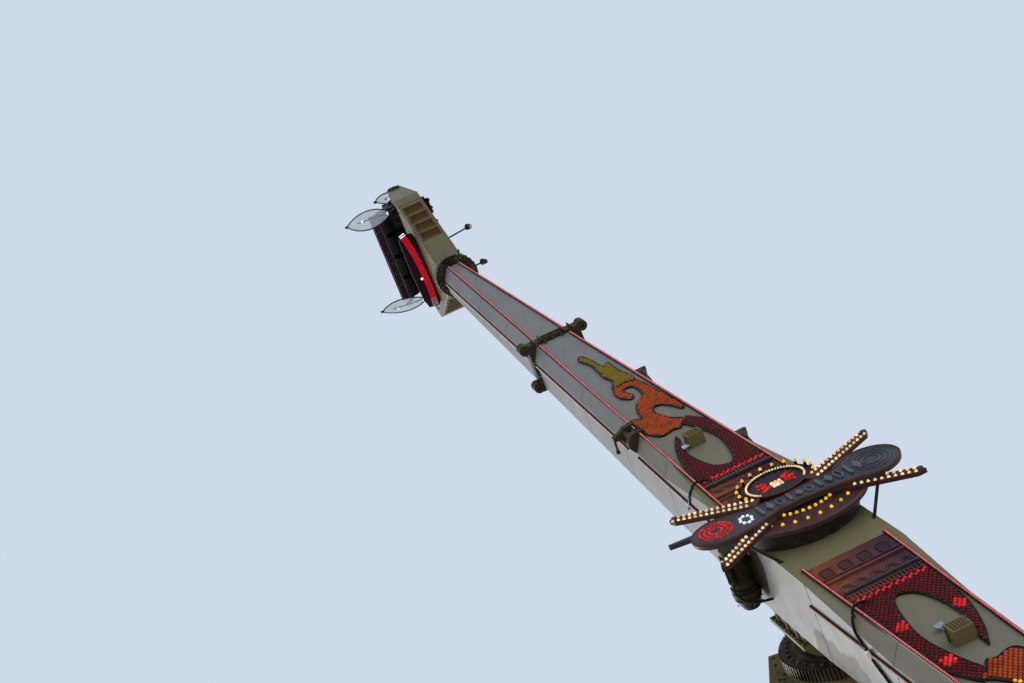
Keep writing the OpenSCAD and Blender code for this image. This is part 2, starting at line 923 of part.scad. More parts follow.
module restraint_outline() {
  r = 74;
  tube = 34;
  bend = [114 + seat_gap + r, 300];
  translate(bend) difference() {
    circle(r);
    circle(r - tube);
    translate([-r - 1, -2 * r - 1]) square(2 * r + 1);
  }
  translate([bend[0] - r, bend[1] - 60]) square([tube, 61]);
  translate([bend[0] + r - tube, bend[1] - 350]) square([tube, 351]);
}

module restraint() {
  for (side = [-78, 44]) {
    front_plate(side, side + 34) restraint_outline();
  }
  translate([238, -45, -50]) cube([20, 90, 60]);
}

module restraint_rows() {
  both_rows() for (i = [0:seats_in_row - 1]) {
    translate([0, (i - (seats_in_row - 1) / 2) * seat_pitch, 0]) restraint();
  }
}

module upper_restraints() {
  color("#33363b") in_gondola(false) restraint_rows();
}

module lower_restraints() {
  color("#33363b") in_gondola(true) restraint_rows();
}

module leaf_outline() {
  run = wing_tip - wing_root;
  half = norm(run) / 2;
  arc_r = (half * half + wing_half_w * wing_half_w) / (2 * wing_half_w);
  translate((wing_root + wing_tip) / 2) rotate(atan2(run[1], run[0])) intersection() {
    translate([0, arc_r - wing_half_w]) circle(arc_r, $fn = 360);
    translate([0, wing_half_w - arc_r]) circle(arc_r, $fn = 360);
  }
}

module end_screens() {
  half = seats_in_row * seat_pitch / 2;
  foot = [200, -300, 240, 36]; // x, z, length and height of a screen's foot
  both_rows() for (end = [0, 1]) {
    mirror([0, end, 0]) {
      front_plate(wing_y, wing_y + 12) leaf_outline();
      front_plate(half, wing_y) translate([foot[0], foot[1]]) square([foot[2], foot[3]]);
    }
  }
}

module upper_end_screens() {
  color("#b9c4cc") in_gondola(false) end_screens();
}

module lower_end_screens() {
  color("#b9c4cc") in_gondola(true) end_screens();
}

base_frame();
front_outriggers();
rear_outriggers();
jack_feet();
loading_deck();
deck_steps();
tower_lower();
tower_upper();
tower_braces();
tower_head();
ring_gear();
boom_centre();
turn_plate();
hub_motor();
hub_drum();
sign_struts();
sign_rays();
sign_bowl();
sign_board();
sign_crest();
centre_light_channels();
edge_brackets();
lamp_boxes();
upper_decor();
lower_decor();
upper_joint_flanges();
upper_outer_boom();
upper_light_channels();
upper_end_ring();
upper_fork();
upper_lamp_stalks();
upper_side_board();
upper_gondola_frame();
upper_seats();
upper_restraints();
upper_end_screens();
lower_joint_flanges();
lower_outer_boom();
lower_light_channels();
lower_end_ring();
lower_fork();
lower_lamp_stalks();
lower_side_board();
lower_gondola_frame();
lower_seats();
lower_restraints();
lower_end_screens();
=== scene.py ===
import json
import math
import bpy
import bmesh
from mathutils import Matrix, Vector


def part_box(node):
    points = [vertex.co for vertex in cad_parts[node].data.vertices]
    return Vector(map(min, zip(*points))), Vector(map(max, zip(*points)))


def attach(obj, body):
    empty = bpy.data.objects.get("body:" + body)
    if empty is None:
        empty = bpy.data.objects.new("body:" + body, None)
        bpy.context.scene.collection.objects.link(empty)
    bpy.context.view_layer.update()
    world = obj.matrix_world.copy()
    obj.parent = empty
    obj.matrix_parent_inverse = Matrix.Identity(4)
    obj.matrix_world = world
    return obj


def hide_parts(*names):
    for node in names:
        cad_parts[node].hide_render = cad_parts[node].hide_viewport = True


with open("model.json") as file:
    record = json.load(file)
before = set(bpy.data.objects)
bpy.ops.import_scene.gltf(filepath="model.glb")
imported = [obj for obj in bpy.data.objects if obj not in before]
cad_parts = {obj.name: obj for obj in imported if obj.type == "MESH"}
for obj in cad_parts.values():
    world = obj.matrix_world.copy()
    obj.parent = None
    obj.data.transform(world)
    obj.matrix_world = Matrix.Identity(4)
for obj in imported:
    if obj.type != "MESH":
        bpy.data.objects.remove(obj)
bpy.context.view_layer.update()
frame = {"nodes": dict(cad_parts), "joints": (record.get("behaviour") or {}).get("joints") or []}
jointOf = {joint["name"]: joint for joint in frame["joints"]}
print("frame loaded:", len(frame["nodes"]), "nodes")

# the boom's own frame: X across, Y to the rear from its front face, Z along its upper half
hubPoint = Vector(jointOf["boom_turn"]["pos_m"])
alongBoom = Vector(jointOf["upper_carrier_turn"]["axis"])
leanAngle = math.atan2(-alongBoom.x, alongBoom.z)
boomFrame = Matrix.Translation(hubPoint) @ Matrix.Rotation(-leanAngle, 4, "Y")
pivotOffset = Vector(jointOf["upper_gondola_swing"]["pos_m"]) - hubPoint
pivotZ = pivotOffset.dot(alongBoom)
axisY = pivotOffset.y

# the frame of each half of the boom, and the plain one of the world
ends = {"upper": boomFrame.copy(), "lower": boomFrame @ Matrix.Rotation(math.pi, 4, "Y")}
world = Matrix.Identity(4)
toFront, toBack, toTop, toBottom = (0, -1, 0), (0, 1, 0), (0, 0, 1), (0, 0, -1)

boom = {
    "hubW": 0.832, "hubD": 0.66, "hubFlat": 0.96, "reach": 12.33, "tipW": 0.364, "tipD": 0.33,
    "jointZ": 7.25, "chamferW": 0.08, "chamferD": 0.145, "chamferFull": 2.35,
    "channelIn": 0.33, "channelMid": 0.182, "channelOut": 0.076, "channelRef": 1.063,
    "channelStart": 0.813, "channelH": 0.016, "sideY": 0.19,
    "flangeT": 0.075, "flangeGap": 0.008, "flangeLip": 0.034,
}


def taper(wide, narrow, z):
    share = (max(z, boom["hubFlat"]) - boom["hubFlat"]) / (boom["reach"] - boom["hubFlat"])
    return wide + (narrow - wide) * share


def halfWidth(z):
    return taper(boom["hubW"], boom["tipW"], z) / 2


def boomDepth(z):
    return taper(boom["hubD"], boom["tipD"], z)


def channelX(z):
    joint, mid = boom["jointZ"], boom["channelMid"]
    if z <= joint:
        start, low, high, first = boom["channelRef"], boom["channelIn"], mid, joint
    else:
        start, low, high, first = joint, mid, boom["channelOut"], boom["reach"]
    return low + (high - low) * (z - start) / (first - start)


# camera where the photograph was taken, set out in the boom's frame
cameraSettings = {
    "place": (-3.640, -6.172, -13.663),
    "right": (0.9, 0.3623, -0.2425), "down": (-0.4108, 0.8909, -0.1936), "ahead": (0.1459, 0.2739, 0.9506),
    "lens": 70.31, "sensor": 36, "farthest": 500,
}


def addToScene(name, data):
    added = bpy.data.objects.new(name, data)
    bpy.context.scene.collection.objects.link(added)
    return added


def makeCamera():
    data = bpy.data.cameras.new("photoCamera")
    data.lens, data.sensor_width = cameraSettings["lens"], cameraSettings["sensor"]
    data.clip_end = cameraSettings["farthest"]
    turn = Matrix.Identity(4)
    turn.col[0][:3] = cameraSettings["right"]
    turn.col[1][:3] = [-v for v in cameraSettings["down"]]
    turn.col[2][:3] = [-v for v in cameraSettings["ahead"]]
    camera = addToScene("photoCamera", data)
    camera.matrix_world = boomFrame @ Matrix.Translation(cameraSettings["place"]) @ turn
    bpy.context.scene.camera = camera


# sets inputs of a node: each is a value, or the output of another node that feeds it
def setInputs(tree, node, inputs):
    for key, value in inputs.items():
        if isinstance(value, bpy.types.NodeSocket):
            tree.links.new(value, node.inputs[key])
        else:
            node.inputs[key].default_value = value


def addNode(tree, kind, inputs={}, **settings):
    node = tree.nodes.new("ShaderNode" + kind)
    for key, value in settings.items():
        setattr(node, key, value)
    setInputs(tree, node, inputs)
    return node


studio = {
    "backdrop": (0.62, 0.70, 0.82),
    "ambient": (0.36, 0.38, 0.41),
    "key": {"strength": 2.2, "colour": (1.0, 0.98, 0.95), "from": (-6.5, 5.5, 5), "size": 35},
    "fill": {"strength": 0.7, "colour": (0.95, 0.97, 1.0), "from": (6, -7, 4), "size": 60},
    "floorSize": 90,
}


# the pale backdrop shows to the camera and in reflections, and softer light falls on the object
def makeWorld():
    made = bpy.data.worlds.new("studioWorld")
    bpy.context.scene.world = made
    made.use_nodes = True
    tree = made.node_tree
    tree.nodes.clear()
    pale = addNode(tree, "Background", {"Color": (*studio["backdrop"], 1)})
    soft = addNode(tree, "Background", {"Color": (*studio["ambient"], 1)})
    path = addNode(tree, "LightPath").outputs
    seen = addNode(tree, "Math", {0: path["Is Camera Ray"], 1: path["Is Transmission Ray"]},
                   operation="MAXIMUM")
    mirrored = addNode(tree, "Math", {0: seen.outputs[0], 1: path["Is Glossy Ray"]}, operation="MAXIMUM")
    mix = addNode(tree, "MixShader", {"Fac": mirrored.outputs[0], 1: soft.outputs[0], 2: pale.outputs[0]})
    addNode(tree, "OutputWorld", {"Surface": mix.outputs[0]})
    bpy.context.scene.view_settings.view_transform = "Standard"


def makeSun(name, values):
    data = bpy.data.lights.new(name, "SUN")
    data.energy, data.color, data.angle = values["strength"], values["colour"], math.radians(values["size"])
    addToScene(name, data).rotation_euler = Vector(values["from"]).to_track_quat("Z", "Y").to_euler()


def makeFloor():
    size = studio["floorSize"]
    mesh = bpy.data.meshes.new("floor")
    mesh.from_pydata([(-size, -size, 0), (size, -size, 0), (size, size, 0), (-size, size, 0)], [],
                     [(0, 1, 2, 3)])
    mesh.materials.append(floorMaterial())
    floor = addToScene("floor", mesh)


# materials

def startMaterial(name, rough=0.5, metal=0.0):
    material = bpy.data.materials.new(name)
    material.use_nodes = True
    tree = material.node_tree
    shader = tree.nodes["Principled BSDF"]
    setInputs(tree, shader, {"Roughness": rough, "Metallic": metal})
    return material, tree, shader


def addNoise(tree, scale, detail=4, stretch=(1, 1, 1)):
    coords = addNode(tree, "TexCoord").outputs["Object"]
    mapping = addNode(tree, "Mapping", {"Vector": coords, "Scale": stretch, "Rotation": (0, leanAngle, 0)})
    noise = addNode(tree, "TexNoise", {"Vector": mapping.outputs["Vector"], "Scale": scale,
                                       "Detail": detail})
    return noise.outputs["Fac"]


def addRamp(tree, source, *stops):
    ramp = addNode(tree, "ValToRGB", {"Fac": source})
    elements = ramp.color_ramp.elements
    while len(elements) < len(stops):
        elements.new(0.5)
    for element, (place, colour) in zip(elements, stops):
        element.position, element.color = place, (*colour, 1)
    return ramp.outputs["Color"]


def addBump(tree, shader, source, strength, distance):
    bump = addNode(tree, "Bump", {"Strength": strength, "Distance": distance, "Height": source})
    setInputs(tree, shader, {"Normal": bump.outputs["Normal"]})


def addRange(tree, source, fromMin=0.0, fromMax=1.0, toMin=0.0, toMax=1.0):
    span = addNode(tree, "MapRange", {"Value": source, "From Min": fromMin, "From Max": fromMax,
                                      "To Min": toMin, "To Max": toMax})
    return span.outputs["Result"]


def addMix(tree, share, first, second):
    mix = addNode(tree, "MixRGB", {"Fac": share, "Color1": first, "Color2": (*second, 1)})
    return mix.outputs["Color"]


def shade(colour, factor):
    return tuple(min(1.0, c * factor) for c in colour)


def grey(value):
    return (value, value, value)


# painted steel with faded patches, rain streaks down the boom and a little orange peel; on the boom also
# painted shade near the hub
paintLook = {"patches": 1.1, "faded": 0.88, "fresh": 1.1, "streaks": 9, "streakStretch": (1.6, 1.6, 0.12),
             "gloss": 5, "peel": 60, "peelStrength": 0.08, "peelHeight": 0.002, "specular": 0.08}


def paintMaterial(name, colour, rough, coat, wear, dirt=(0.12, 0.11, 0.07), hubShadeColour=None):
    look = paintLook
    material, tree, shader = startMaterial(name, rough)
    tone = addRamp(tree, addNoise(tree, look["patches"], 5), (0.3, shade(colour, look["faded"])),
                   (0.55, colour), (0.8, shade(colour, look["fresh"])))
    if hubShadeColour:
        # painted shade: a warm tone near the hub, and dark shadow patches on the boom's left side
        tone = addPaintedShadows(tree, addHubWarmShade(tree, tone, hubShadeColour))
    streaks = addRamp(tree, addNoise(tree, look["streaks"], 6, look["streakStretch"]), (0.48, grey(0)),
                      (0.75, grey(wear)))
    setInputs(tree, shader, {
        "Base Color": addMix(tree, streaks, tone, dirt), "Specular IOR Level": look["specular"],
        "Roughness": addRange(tree, addNoise(tree, look["gloss"], 3), toMin=rough * 0.8,
                              toMax=rough * 1.25),
        "Coat Weight": coat, "Coat Roughness": 0.2})
    addBump(tree, shader, addNoise(tree, look["peel"], 2), look["peelStrength"], look["peelHeight"])
    return material


# painted warm shade and reflection within a few metres of the hub, strongest on faces turned to the front
hubWarmShade = {"full": 0.9, "none": 5.5, "facing": 0.7, "elsewhere": 0.15}


# mixes the painted warm shade into the colour, by distance from the hub and by how far the face turns to
# the front
def addHubWarmShade(tree, tone, hubShadeColour):
    coords = addNode(tree, "TexCoord").outputs
    away = addNode(tree, "VectorMath", {0: coords["Object"], 1: hubPoint}, operation="DISTANCE")
    share = addRange(tree, away.outputs["Value"], hubWarmShade["full"], hubWarmShade["none"], 1.0, 0.0)
    front = boomFrame.to_3x3() @ Vector(toFront)
    facing = addNode(tree, "VectorMath", {0: coords["Normal"], 1: front}, operation="DOT_PRODUCT")
    turned = addRange(tree, facing.outputs["Value"], 0.0, hubWarmShade["facing"], hubWarmShade["elsewhere"])
    both = addNode(tree, "Math", {0: share, 1: turned}, operation="MULTIPLY")
    return addMix(tree, both.outputs["Value"], tone, hubShadeColour)


# painted shadow and reflection of the motor and ring gear: dark patches with ragged edges on the boom's
# left side
paintedShadows = {"colour": (0.05, 0.042, 0.022), "strength": 0.95, "ragged": 0.3, "edge": 0.03,
          "spots": [((-0.45, -1.5, 16.62), 0.24), ((-0.12, -0.95, 15.4), 0.33),
                    ((-0.02, -0.95, 15.0), 0.33)]}


# darkens the colour inside each patch as painted shadow
def addPaintedShadows(tree, tone):
    coords = addNode(tree, "TexCoord").outputs["Object"]
    noise = addNoise(tree, 4, 3)
    for spot, reach in paintedShadows["spots"]:
        away = addNode(tree, "VectorMath", {0: coords, 1: spot}, operation="DISTANCE")
        wavy = addNode(tree, "Math", {0: noise, 1: paintedShadows["ragged"], 2: away.outputs["Value"]},
                       operation="MULTIPLY_ADD")
        limit = reach + paintedShadows["ragged"] / 2
        share = addRange(tree, wavy.outputs["Value"], limit, limit + paintedShadows["edge"],
                         paintedShadows["strength"], 0.0)
        tone = addMix(tree, share, tone, paintedShadows["colour"])
    return tone


# greasy machined steel
def greaseMaterial(name, colour, rough=0.45):
    material, tree, shader = startMaterial(name, rough, 0.7)
    patches = addNoise(tree, 7, 6)
    setInputs(tree, shader, {"Base Color": addRamp(tree, patches, (0.35, shade(colour, 0.45)),
                                                   (0.55, colour), (0.75, shade(colour, 1.7)))})
    addBump(tree, shader, patches, 0.25, 0.004)
    return material


# lamp cap lit from inside, brighter at some caps than at others
def lampMaterial(name, colour, glow, strength, spread=0.4):
    material, tree, shader = startMaterial(name, 0.25)
    coords = addNode(tree, "TexCoord").outputs["Object"]
    cells = addNode(tree, "TexVoronoi", {"Vector": coords, "Scale": 21})
    setInputs(tree, shader, {
        "Base Color": (*colour, 1), "Emission Strength": strength, "Specular IOR Level": 0.12,
        "Emission Color": addRamp(tree, cells.outputs["Color"], (0.25, shade(glow, 1 - spread)),
                                  (0.7, glow))})
    return material


# moulded plastic with a fine grain
def plasticMaterial(name, colour, rough=0.5, grain=220):
    material, tree, shader = startMaterial(name, rough)
    tone = addRamp(tree, addNoise(tree, 3, 3), (0.35, shade(colour, 0.8)), (0.7, shade(colour, 1.25)))
    setInputs(tree, shader, {"Base Color": tone, "Specular IOR Level": 0.12})
    addBump(tree, shader, addNoise(tree, grain, 2), 0.15, 0.001)
    return material


def screenMaterial():
    material, tree, shader = startMaterial("clearScreen", 0.12)
    haze = addRamp(tree, addNoise(tree, 6, 4), (0.3, (0.62, 0.68, 0.74)), (0.7, (0.78, 0.82, 0.86)))
    setInputs(tree, shader, {"Base Color": haze, "Alpha": 0.42, "IOR": 1.49})
    return material


# deck sheet with raised lozenges
def treadMaterial():
    material, tree, shader = startMaterial("treadPlate", 0.5, 0.35)
    coords = addNode(tree, "TexCoord").outputs["Object"]
    mapping = addNode(tree, "Mapping", {"Vector": coords, "Rotation": (0, 0, math.radians(45))})
    checks = addNode(tree, "TexChecker", {"Vector": mapping.outputs["Vector"], "Scale": 26})
    worn = addRamp(tree, addNoise(tree, 2.2, 5), (0.35, (0.17, 0.17, 0.165)), (0.7, (0.33, 0.33, 0.32)))
    setInputs(tree, shader, {"Base Color": worn})
    addBump(tree, shader, checks.outputs["Fac"], 0.4, 0.004)
    return material


# painted relief panel, orange-brown at the left of the boom and plum at the right
def arcadeMaterial(name, left, right):
    material, tree, shader = startMaterial(name, 0.5)
    sideways = Vector(boomFrame.col[0][:3])
    middle = hubPoint.dot(sideways)
    coords = addNode(tree, "TexCoord").outputs["Object"]
    across = addNode(tree, "VectorMath", {0: coords, 1: sideways}, operation="DOT_PRODUCT")
    share = addRange(tree, across.outputs["Value"], middle - 0.3, middle + 0.3)
    soot = addNoise(tree, 14, 6)
    mask = addRamp(tree, soot, (0.4, grey(0)), (0.75, grey(0.55)))
    tone = addMix(tree, mask, addRamp(tree, share, (0.1, left), (0.9, right)), shade(right, 0.6))
    setInputs(tree, shader, {"Base Color": tone, "Specular IOR Level": 0.12})
    addBump(tree, shader, soot, 0.2, 0.003)
    return material


def floorMaterial():
    material, tree, shader = startMaterial("floorPale", 0.85)
    tone = addRamp(tree, addNoise(tree, 0.4, 3), (0.3, (0.62, 0.63, 0.64)), (0.7, (0.68, 0.69, 0.70)))
    setInputs(tree, shader, {"Base Color": tone})
    return material


# colour, roughness, coat, wear, dirt, colour of the painted warm shade at the hub
painted = {
    "boomPaint": ((0.25, 0.255, 0.255), 0.45, 0.0, 0.22, (0.12, 0.11, 0.08), (0.235, 0.205, 0.11)),
    "khakiPaint": ((0.20, 0.16, 0.065), 0.5, 0.0, 0.4),
    "forkPaint": ((0.21, 0.185, 0.11), 0.45, 0.0, 0.35),
    "bracketPaint": ((0.058, 0.045, 0.019), 0.5, 0.0, 0.5, (0.015, 0.013, 0.009)),
    "basePaint": ((0.20, 0.19, 0.14), 0.55, 0.0, 0.5),
    "drumBlack": ((0.022, 0.021, 0.016), 0.5, 0.0, 0.3),
    "slateBoard": ((0.05, 0.052, 0.064), 0.45, 0.05, 0.3),
    "slateRelief": ((0.12, 0.125, 0.155), 0.4, 0.1, 0.3, (0.05, 0.05, 0.06)),
    "copperBoard": ((0.085, 0.035, 0.032), 0.5, 0.0, 0.4, (0.03, 0.012, 0.014)),
    "crestBoard": ((0.035, 0.018, 0.024), 0.5, 0.0, 0.3, (0.015, 0.008, 0.01)),
    "rustPanel": ((0.13, 0.04, 0.02), 0.5, 0.0, 0.4, (0.04, 0.015, 0.012)),
    "pinkRim": ((0.13, 0.055, 0.062), 0.4, 0.1, 0.3, (0.05, 0.02, 0.025)),
    "maroonPanel": ((0.030, 0.006, 0.014), 0.45, 0.05, 0.2, (0.012, 0.004, 0.006)),
    "brownPanel": ((0.085, 0.036, 0.010), 0.5, 0.0, 0.4, (0.03, 0.012, 0.004)),
    "brownFrame": ((0.15, 0.085, 0.03), 0.5, 0.0, 0.4, (0.05, 0.03, 0.01)),
}
# colour at the left and at the right
washed = {
    "arcadeGround": ((0.26, 0.075, 0.022), (0.055, 0.018, 0.036)),
    "arcadeRelief": ((0.24, 0.085, 0.065), (0.15, 0.05, 0.07)),
    "arcadeSquare": ((0.11, 0.022, 0.008), (0.03, 0.012, 0.024)),
}
# colour, roughness
greased = {
    "gearGrease": ((0.085, 0.07, 0.042),),
    "ringGrease": ((0.045, 0.035, 0.02), 0.55),
    "boltSteel": ((0.12, 0.11, 0.085),),
    "brightSteel": ((0.42, 0.46, 0.52), 0.35),
}
# colour, roughness, grain
moulded = {
    "channelRed": ((0.055, 0.006, 0.008),),
    "seatBlack": ((0.012, 0.011, 0.012), 0.55),
    "padBlack": ((0.018, 0.018, 0.02), 0.65, 90),
    "padFabric": ((0.02, 0.02, 0.022), 0.8, 420),
    "gripYellow": ((0.12, 0.11, 0.02),),
    "hoseBlack": ((0.012, 0.012, 0.012), 0.45),
    "whiteLens": ((0.62, 0.64, 0.66), 0.2, 60),
    "rimDark": ((0.02, 0.022, 0.03), 0.4),
    "decorBack": ((0.022, 0.007, 0.008),),
    "decorEdge": ((0.010, 0.006, 0.007),),
}
# colour of the cap, colour and strength of its light, how much the lamps differ
lamps = {
    "redLamp": ((0.25, 0.006, 0.008), (1.0, 0.025, 0.03), 0.7, 0.6),
    "pinkLamp": ((0.45, 0.12, 0.11), (1.0, 0.24, 0.22), 0.5, 0.3),
    "peachLamp": ((0.55, 0.36, 0.30), (1.0, 0.6, 0.5), 0.25),
    "darkRedCap": ((0.11, 0.002, 0.004), (0.5, 0.002, 0.006), 0.06, 0.9),
    "orangeCap": ((0.45, 0.062, 0.003), (0.9, 0.13, 0.004), 0.12, 0.9),
    "yellowCap": ((0.30, 0.20, 0.003), (0.7, 0.45, 0.01), 0.05, 0.9),
    "warmLamp": ((0.40, 0.28, 0.14), (1.0, 0.74, 0.42), 0.95, 0.5),
    "yellowLamp": ((0.4, 0.24, 0.02), (1.0, 0.56, 0.04), 0.85, 0.4),
    "whiteLamp": ((0.6, 0.62, 0.66), (0.85, 0.92, 1.0), 1.0),
    "amberLamp": ((0.8, 0.36, 0.03), (1.0, 0.45, 0.05), 0.8),
    "redBar": ((0.30, 0.006, 0.012), (1.0, 0.012, 0.035), 0.62, 0.15),
    "palePinkBar": ((0.5, 0.22, 0.22), (1.0, 0.4, 0.4), 0.25),
}
paints = {"screen": screenMaterial(), "tread": treadMaterial()}
for makeMaterial, table in ((paintMaterial, painted), (arcadeMaterial, washed), (greaseMaterial, greased),
                            (plasticMaterial, moulded), (lampMaterial, lamps)):
    for name, values in table.items():
        paints[name] = makeMaterial(name, *values)

nodeFinish = {
    "boomPaint": ["boom_centre", "upper_outer_boom", "lower_outer_boom"],
    "khakiPaint": ["turn_plate", "tower_head", "tower_lower", "tower_upper", "tower_braces", "lamp_boxes"],
    "forkPaint": ["upper_fork", "lower_fork"],
    "bracketPaint": ["edge_brackets", "upper_joint_flanges", "lower_joint_flanges", "hub_motor",
                     "upper_lamp_stalks", "lower_lamp_stalks"],
    "basePaint": ["base_frame", "front_outriggers", "rear_outriggers", "jack_feet"],
    "tread": ["loading_deck", "deck_steps"],
    "gearGrease": ["ring_gear"],
    "ringGrease": ["upper_end_ring", "lower_end_ring"],
    "drumBlack": ["hub_drum", "sign_struts"],
    "slateBoard": ["sign_board"],
    "copperBoard": ["sign_bowl", "sign_rays"],
    "crestBoard": ["sign_crest"],
    "channelRed": ["centre_light_channels", "upper_light_channels", "lower_light_channels"],
    "maroonPanel": ["upper_gondola_frame", "lower_gondola_frame", "upper_side_board", "lower_side_board"],
    "seatBlack": ["upper_seats", "lower_seats"],
    "padBlack": ["upper_restraints", "lower_restraints"],
    "screen": ["upper_end_screens", "lower_end_screens"],
}


def finishNodes():
    for paint, nodes in nodeFinish.items():
        for node in nodes:
            materials = frame["nodes"][node].data.materials
            for i in range(len(materials)):
                materials[i] = paints[paint]
            if not materials:
                materials.append(paints[paint])
    print("carried-over nodes painted")


# small mesh builders: each adds to a mesh, in metres of the frame that it is given

def newMeshes(count):
    return [bmesh.new() for i in range(count)]


def addPiece(name, bm, paint, body="boom", smooth=False, standsFor=None):
    mesh = bpy.data.meshes.new(name)
    bm.normal_update()
    bm.to_mesh(mesh)
    bm.free()
    for face in mesh.polygons:
        face.use_smooth = smooth
    mesh.materials.append(paints[paint])
    piece = addToScene(name, mesh)
    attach(piece, body)
    if standsFor:
        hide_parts(standsFor)
    return piece


# a frame at a point of another one, with its Z pointing a way of that one
def fit(place, point, way, spin=0.0):
    lean = (place.to_3x3() @ Vector(way)).to_track_quat("Z", "Y").to_matrix().to_4x4()
    return Matrix.Translation(place @ Vector(point)) @ lean @ Matrix.Rotation(spin, 4, "Z")


# faces between rows of points: a closed ring, or capped at both ends, the last with a tip if there is one
def skin(bm, place, rows, ring=False, tip=None):
    rows = [[bm.verts.new(place @ Vector(point)) for point in row] for row in rows]
    for low, high in zip(rows, rows[1:] + (rows[:1] if ring else [])):
        for i in range(len(low)):
            bm.faces.new((low[i - 1], low[i], high[i], high[i - 1]))
    if ring:
        return
    bm.faces.new(rows[0][::-1])
    if tip:
        top = bm.verts.new(place @ Vector(tip))
        for i in range(len(rows[-1])):
            bm.faces.new((rows[-1][i - 1], rows[-1][i], top))
    else:
        bm.faces.new(rows[-1])


def circle(radius, height, sides):
    angles = [2 * math.pi * i / sides for i in range(sides)]
    return [(radius * math.cos(a), radius * math.sin(a), height) for a in angles]


def addDome(bm, place, radius, height, sides=7, rings=2):
    tilts = [ring * math.pi / (2 * rings) for ring in range(rings)]
    skin(bm, place, [circle(radius * math.cos(t), height * math.sin(t), sides) for t in tilts],
         tip=(0, 0, height))


def addPrism(bm, place, radius, height, sides=6, bevel=0.15):
    shapes = ((radius, 0), (radius, height * (1 - bevel)), (radius * (1 - bevel), height))
    skin(bm, place, [circle(r, h, sides) for r, h in shapes])


def addDisc(bm, place, inner, outer, height, sides=24):
    shapes = ((inner, 0), (outer, 0), (outer, height), (inner, height))
    skin(bm, place, [circle(r, h, sides) for r, h in shapes], ring=True)


def addBox(bm, place, middle, size, bevel=0.0, lean=world):
    matrix = place @ Matrix.Translation(middle) @ lean @ Matrix.Diagonal((*size, 1))
    made = bmesh.ops.create_cube(bm, size=1.0, matrix=matrix)
    if bevel:
        edges = {edge for vert in made["verts"] for edge in vert.link_edges}
        bmesh.ops.bevel(bm, geom=list(edges), offset=bevel, segments=1, affect="EDGES")


def addTube(bm, place, points, radius, sides=8, closed=False):
    points = [place @ Vector(p) for p in points]
    count = len(points)
    rows, side = [], None
    for i, point in enumerate(points):
        before = points[i - 1] if i or closed else point
        after = points[(i + 1) % count] if i < count - 1 or closed else point
        along = (after - before).normalized()
        if side is None:
            side = along.orthogonal().normalized()
        side = (side - along * side.dot(along)).normalized()
        rows.append([point + side * x + along.cross(side) * y for x, y, z in circle(radius, 0, sides)])
    skin(bm, world, rows, closed)


# a tube along a flat outline, standing out from the front of a frame
def addTrace(bm, place, outline, out, radius, sides=6, closed=True):
    addTube(bm, place, [(x, -out, z) for x, z in outline], radius, sides, closed)


# a flat outline in the X and Z of a frame, made thick towards -Y
def addPlate(bm, place, outline, back, thick):
    skin(bm, place, [[(x, -back - depth, z) for x, z in outline] for depth in (0, thick)])


# a flat outline in the X and Y of a frame, drawn out along Z
def addBar(bm, place, outline, low, high):
    skin(bm, place, [[(x, y, z) for x, y in outline] for z in (low, high)])


def addCaps(bm, place, spots, out, radius, height, sides=7, rings=2):
    for x, z in spots:
        addDome(bm, fit(place, (x, -out, z), toFront), radius, height, sides, rings)


def addBolts(bm, place, points, way, radius=0.014, height=0.012, sides=6):
    for i, point in enumerate(points):
        addPrism(bm, fit(place, point, way, 0.4 * i), radius, height, sides)


def rowBetween(start, end, pitch):
    start, end = Vector(start), Vector(end)
    count = max(1, round((end - start).length / pitch))
    return [start.lerp(end, i / count) for i in range(count + 1)]


def spread(low, high, pitch):
    return [point.x for point in rowBetween((low, 0, 0), (high, 0, 0), pitch)]


def arcPoints(middle, radiusX, radiusZ, start, end, count):
    angles = [math.radians(start + (end - start) * i / (count - 1)) for i in range(count)]
    return [(middle[0] + radiusX * math.cos(a), middle[1] + radiusZ * math.sin(a)) for a in angles]


def oval(middle, radiusX, radiusZ, count):
    return arcPoints(middle, radiusX, radiusZ, 0, 360 - 360 / count, count)


# a smooth line through a few points
def smoothLine(points, steps=5, closed=False):
    points = [Vector((*p, 0)) if len(p) == 2 else Vector(p) for p in points]
    count = len(points)
    line = []
    for i in range(count if closed else count - 1):
        a = points[(i - 1) % count] if closed or i else points[0]
        b, c = points[i], points[(i + 1) % count]
        d = points[(i + 2) % count] if closed or i + 2 < count else points[-1]
        for k in range(steps):
            t = k / steps
            line.append(0.5 * ((2 * b) + (c - a) * t + (2 * a - 5 * b + 4 * c - d) * t * t
                               + (3 * b - a - 3 * c + d) * t * t * t))
    if not closed:
        line.append(points[-1])
    return line


def flatLine(points, steps=5, closed=False):
    return [(p.x, p.y) for p in smoothLine(points, steps, closed)]


def isInside(x, z, outline):
    inside = False
    for (x0, z0), (x1, z1) in zip(outline, outline[1:] + outline[:1]):
        if (z0 > z) != (z1 > z) and x < x0 + (x1 - x0) * (z - z0) / (z1 - z0):
            inside = not inside
    return inside


# staggered rows of places inside an outline, kept off its edge
def capPlaces(outline, pitch, margin):
    lowX, highX = min(p[0] for p in outline), max(p[0] for p in outline)
    lowZ, highZ = min(p[1] for p in outline), max(p[1] for p in outline)
    places = []
    row, z = 0, lowZ
    while z < highZ:
        x = lowX + (pitch / 2 if row % 2 else 0)
        while x < highX:
            around = [(x, z), (x + margin, z), (x - margin, z), (x, z + margin), (x, z - margin)]
            if all(isInside(a, b, outline) for a, b in around):
                places.append((x, z))
            x += pitch
        z += pitch * 0.87
        row += 1
    return places


# light strips

strips = {"pitch": 0.0285, "beadRadius": 0.0078, "beadHeight": 0.013, "sidePitch": 0.034,
          "sideRadius": 0.011, "sideHeight": 0.009, "endGap": 0.02, "clear": 0.06, "lift": 0.0002,
          "sideStart": 0.05, "clamp": (3.165, 3.565)}


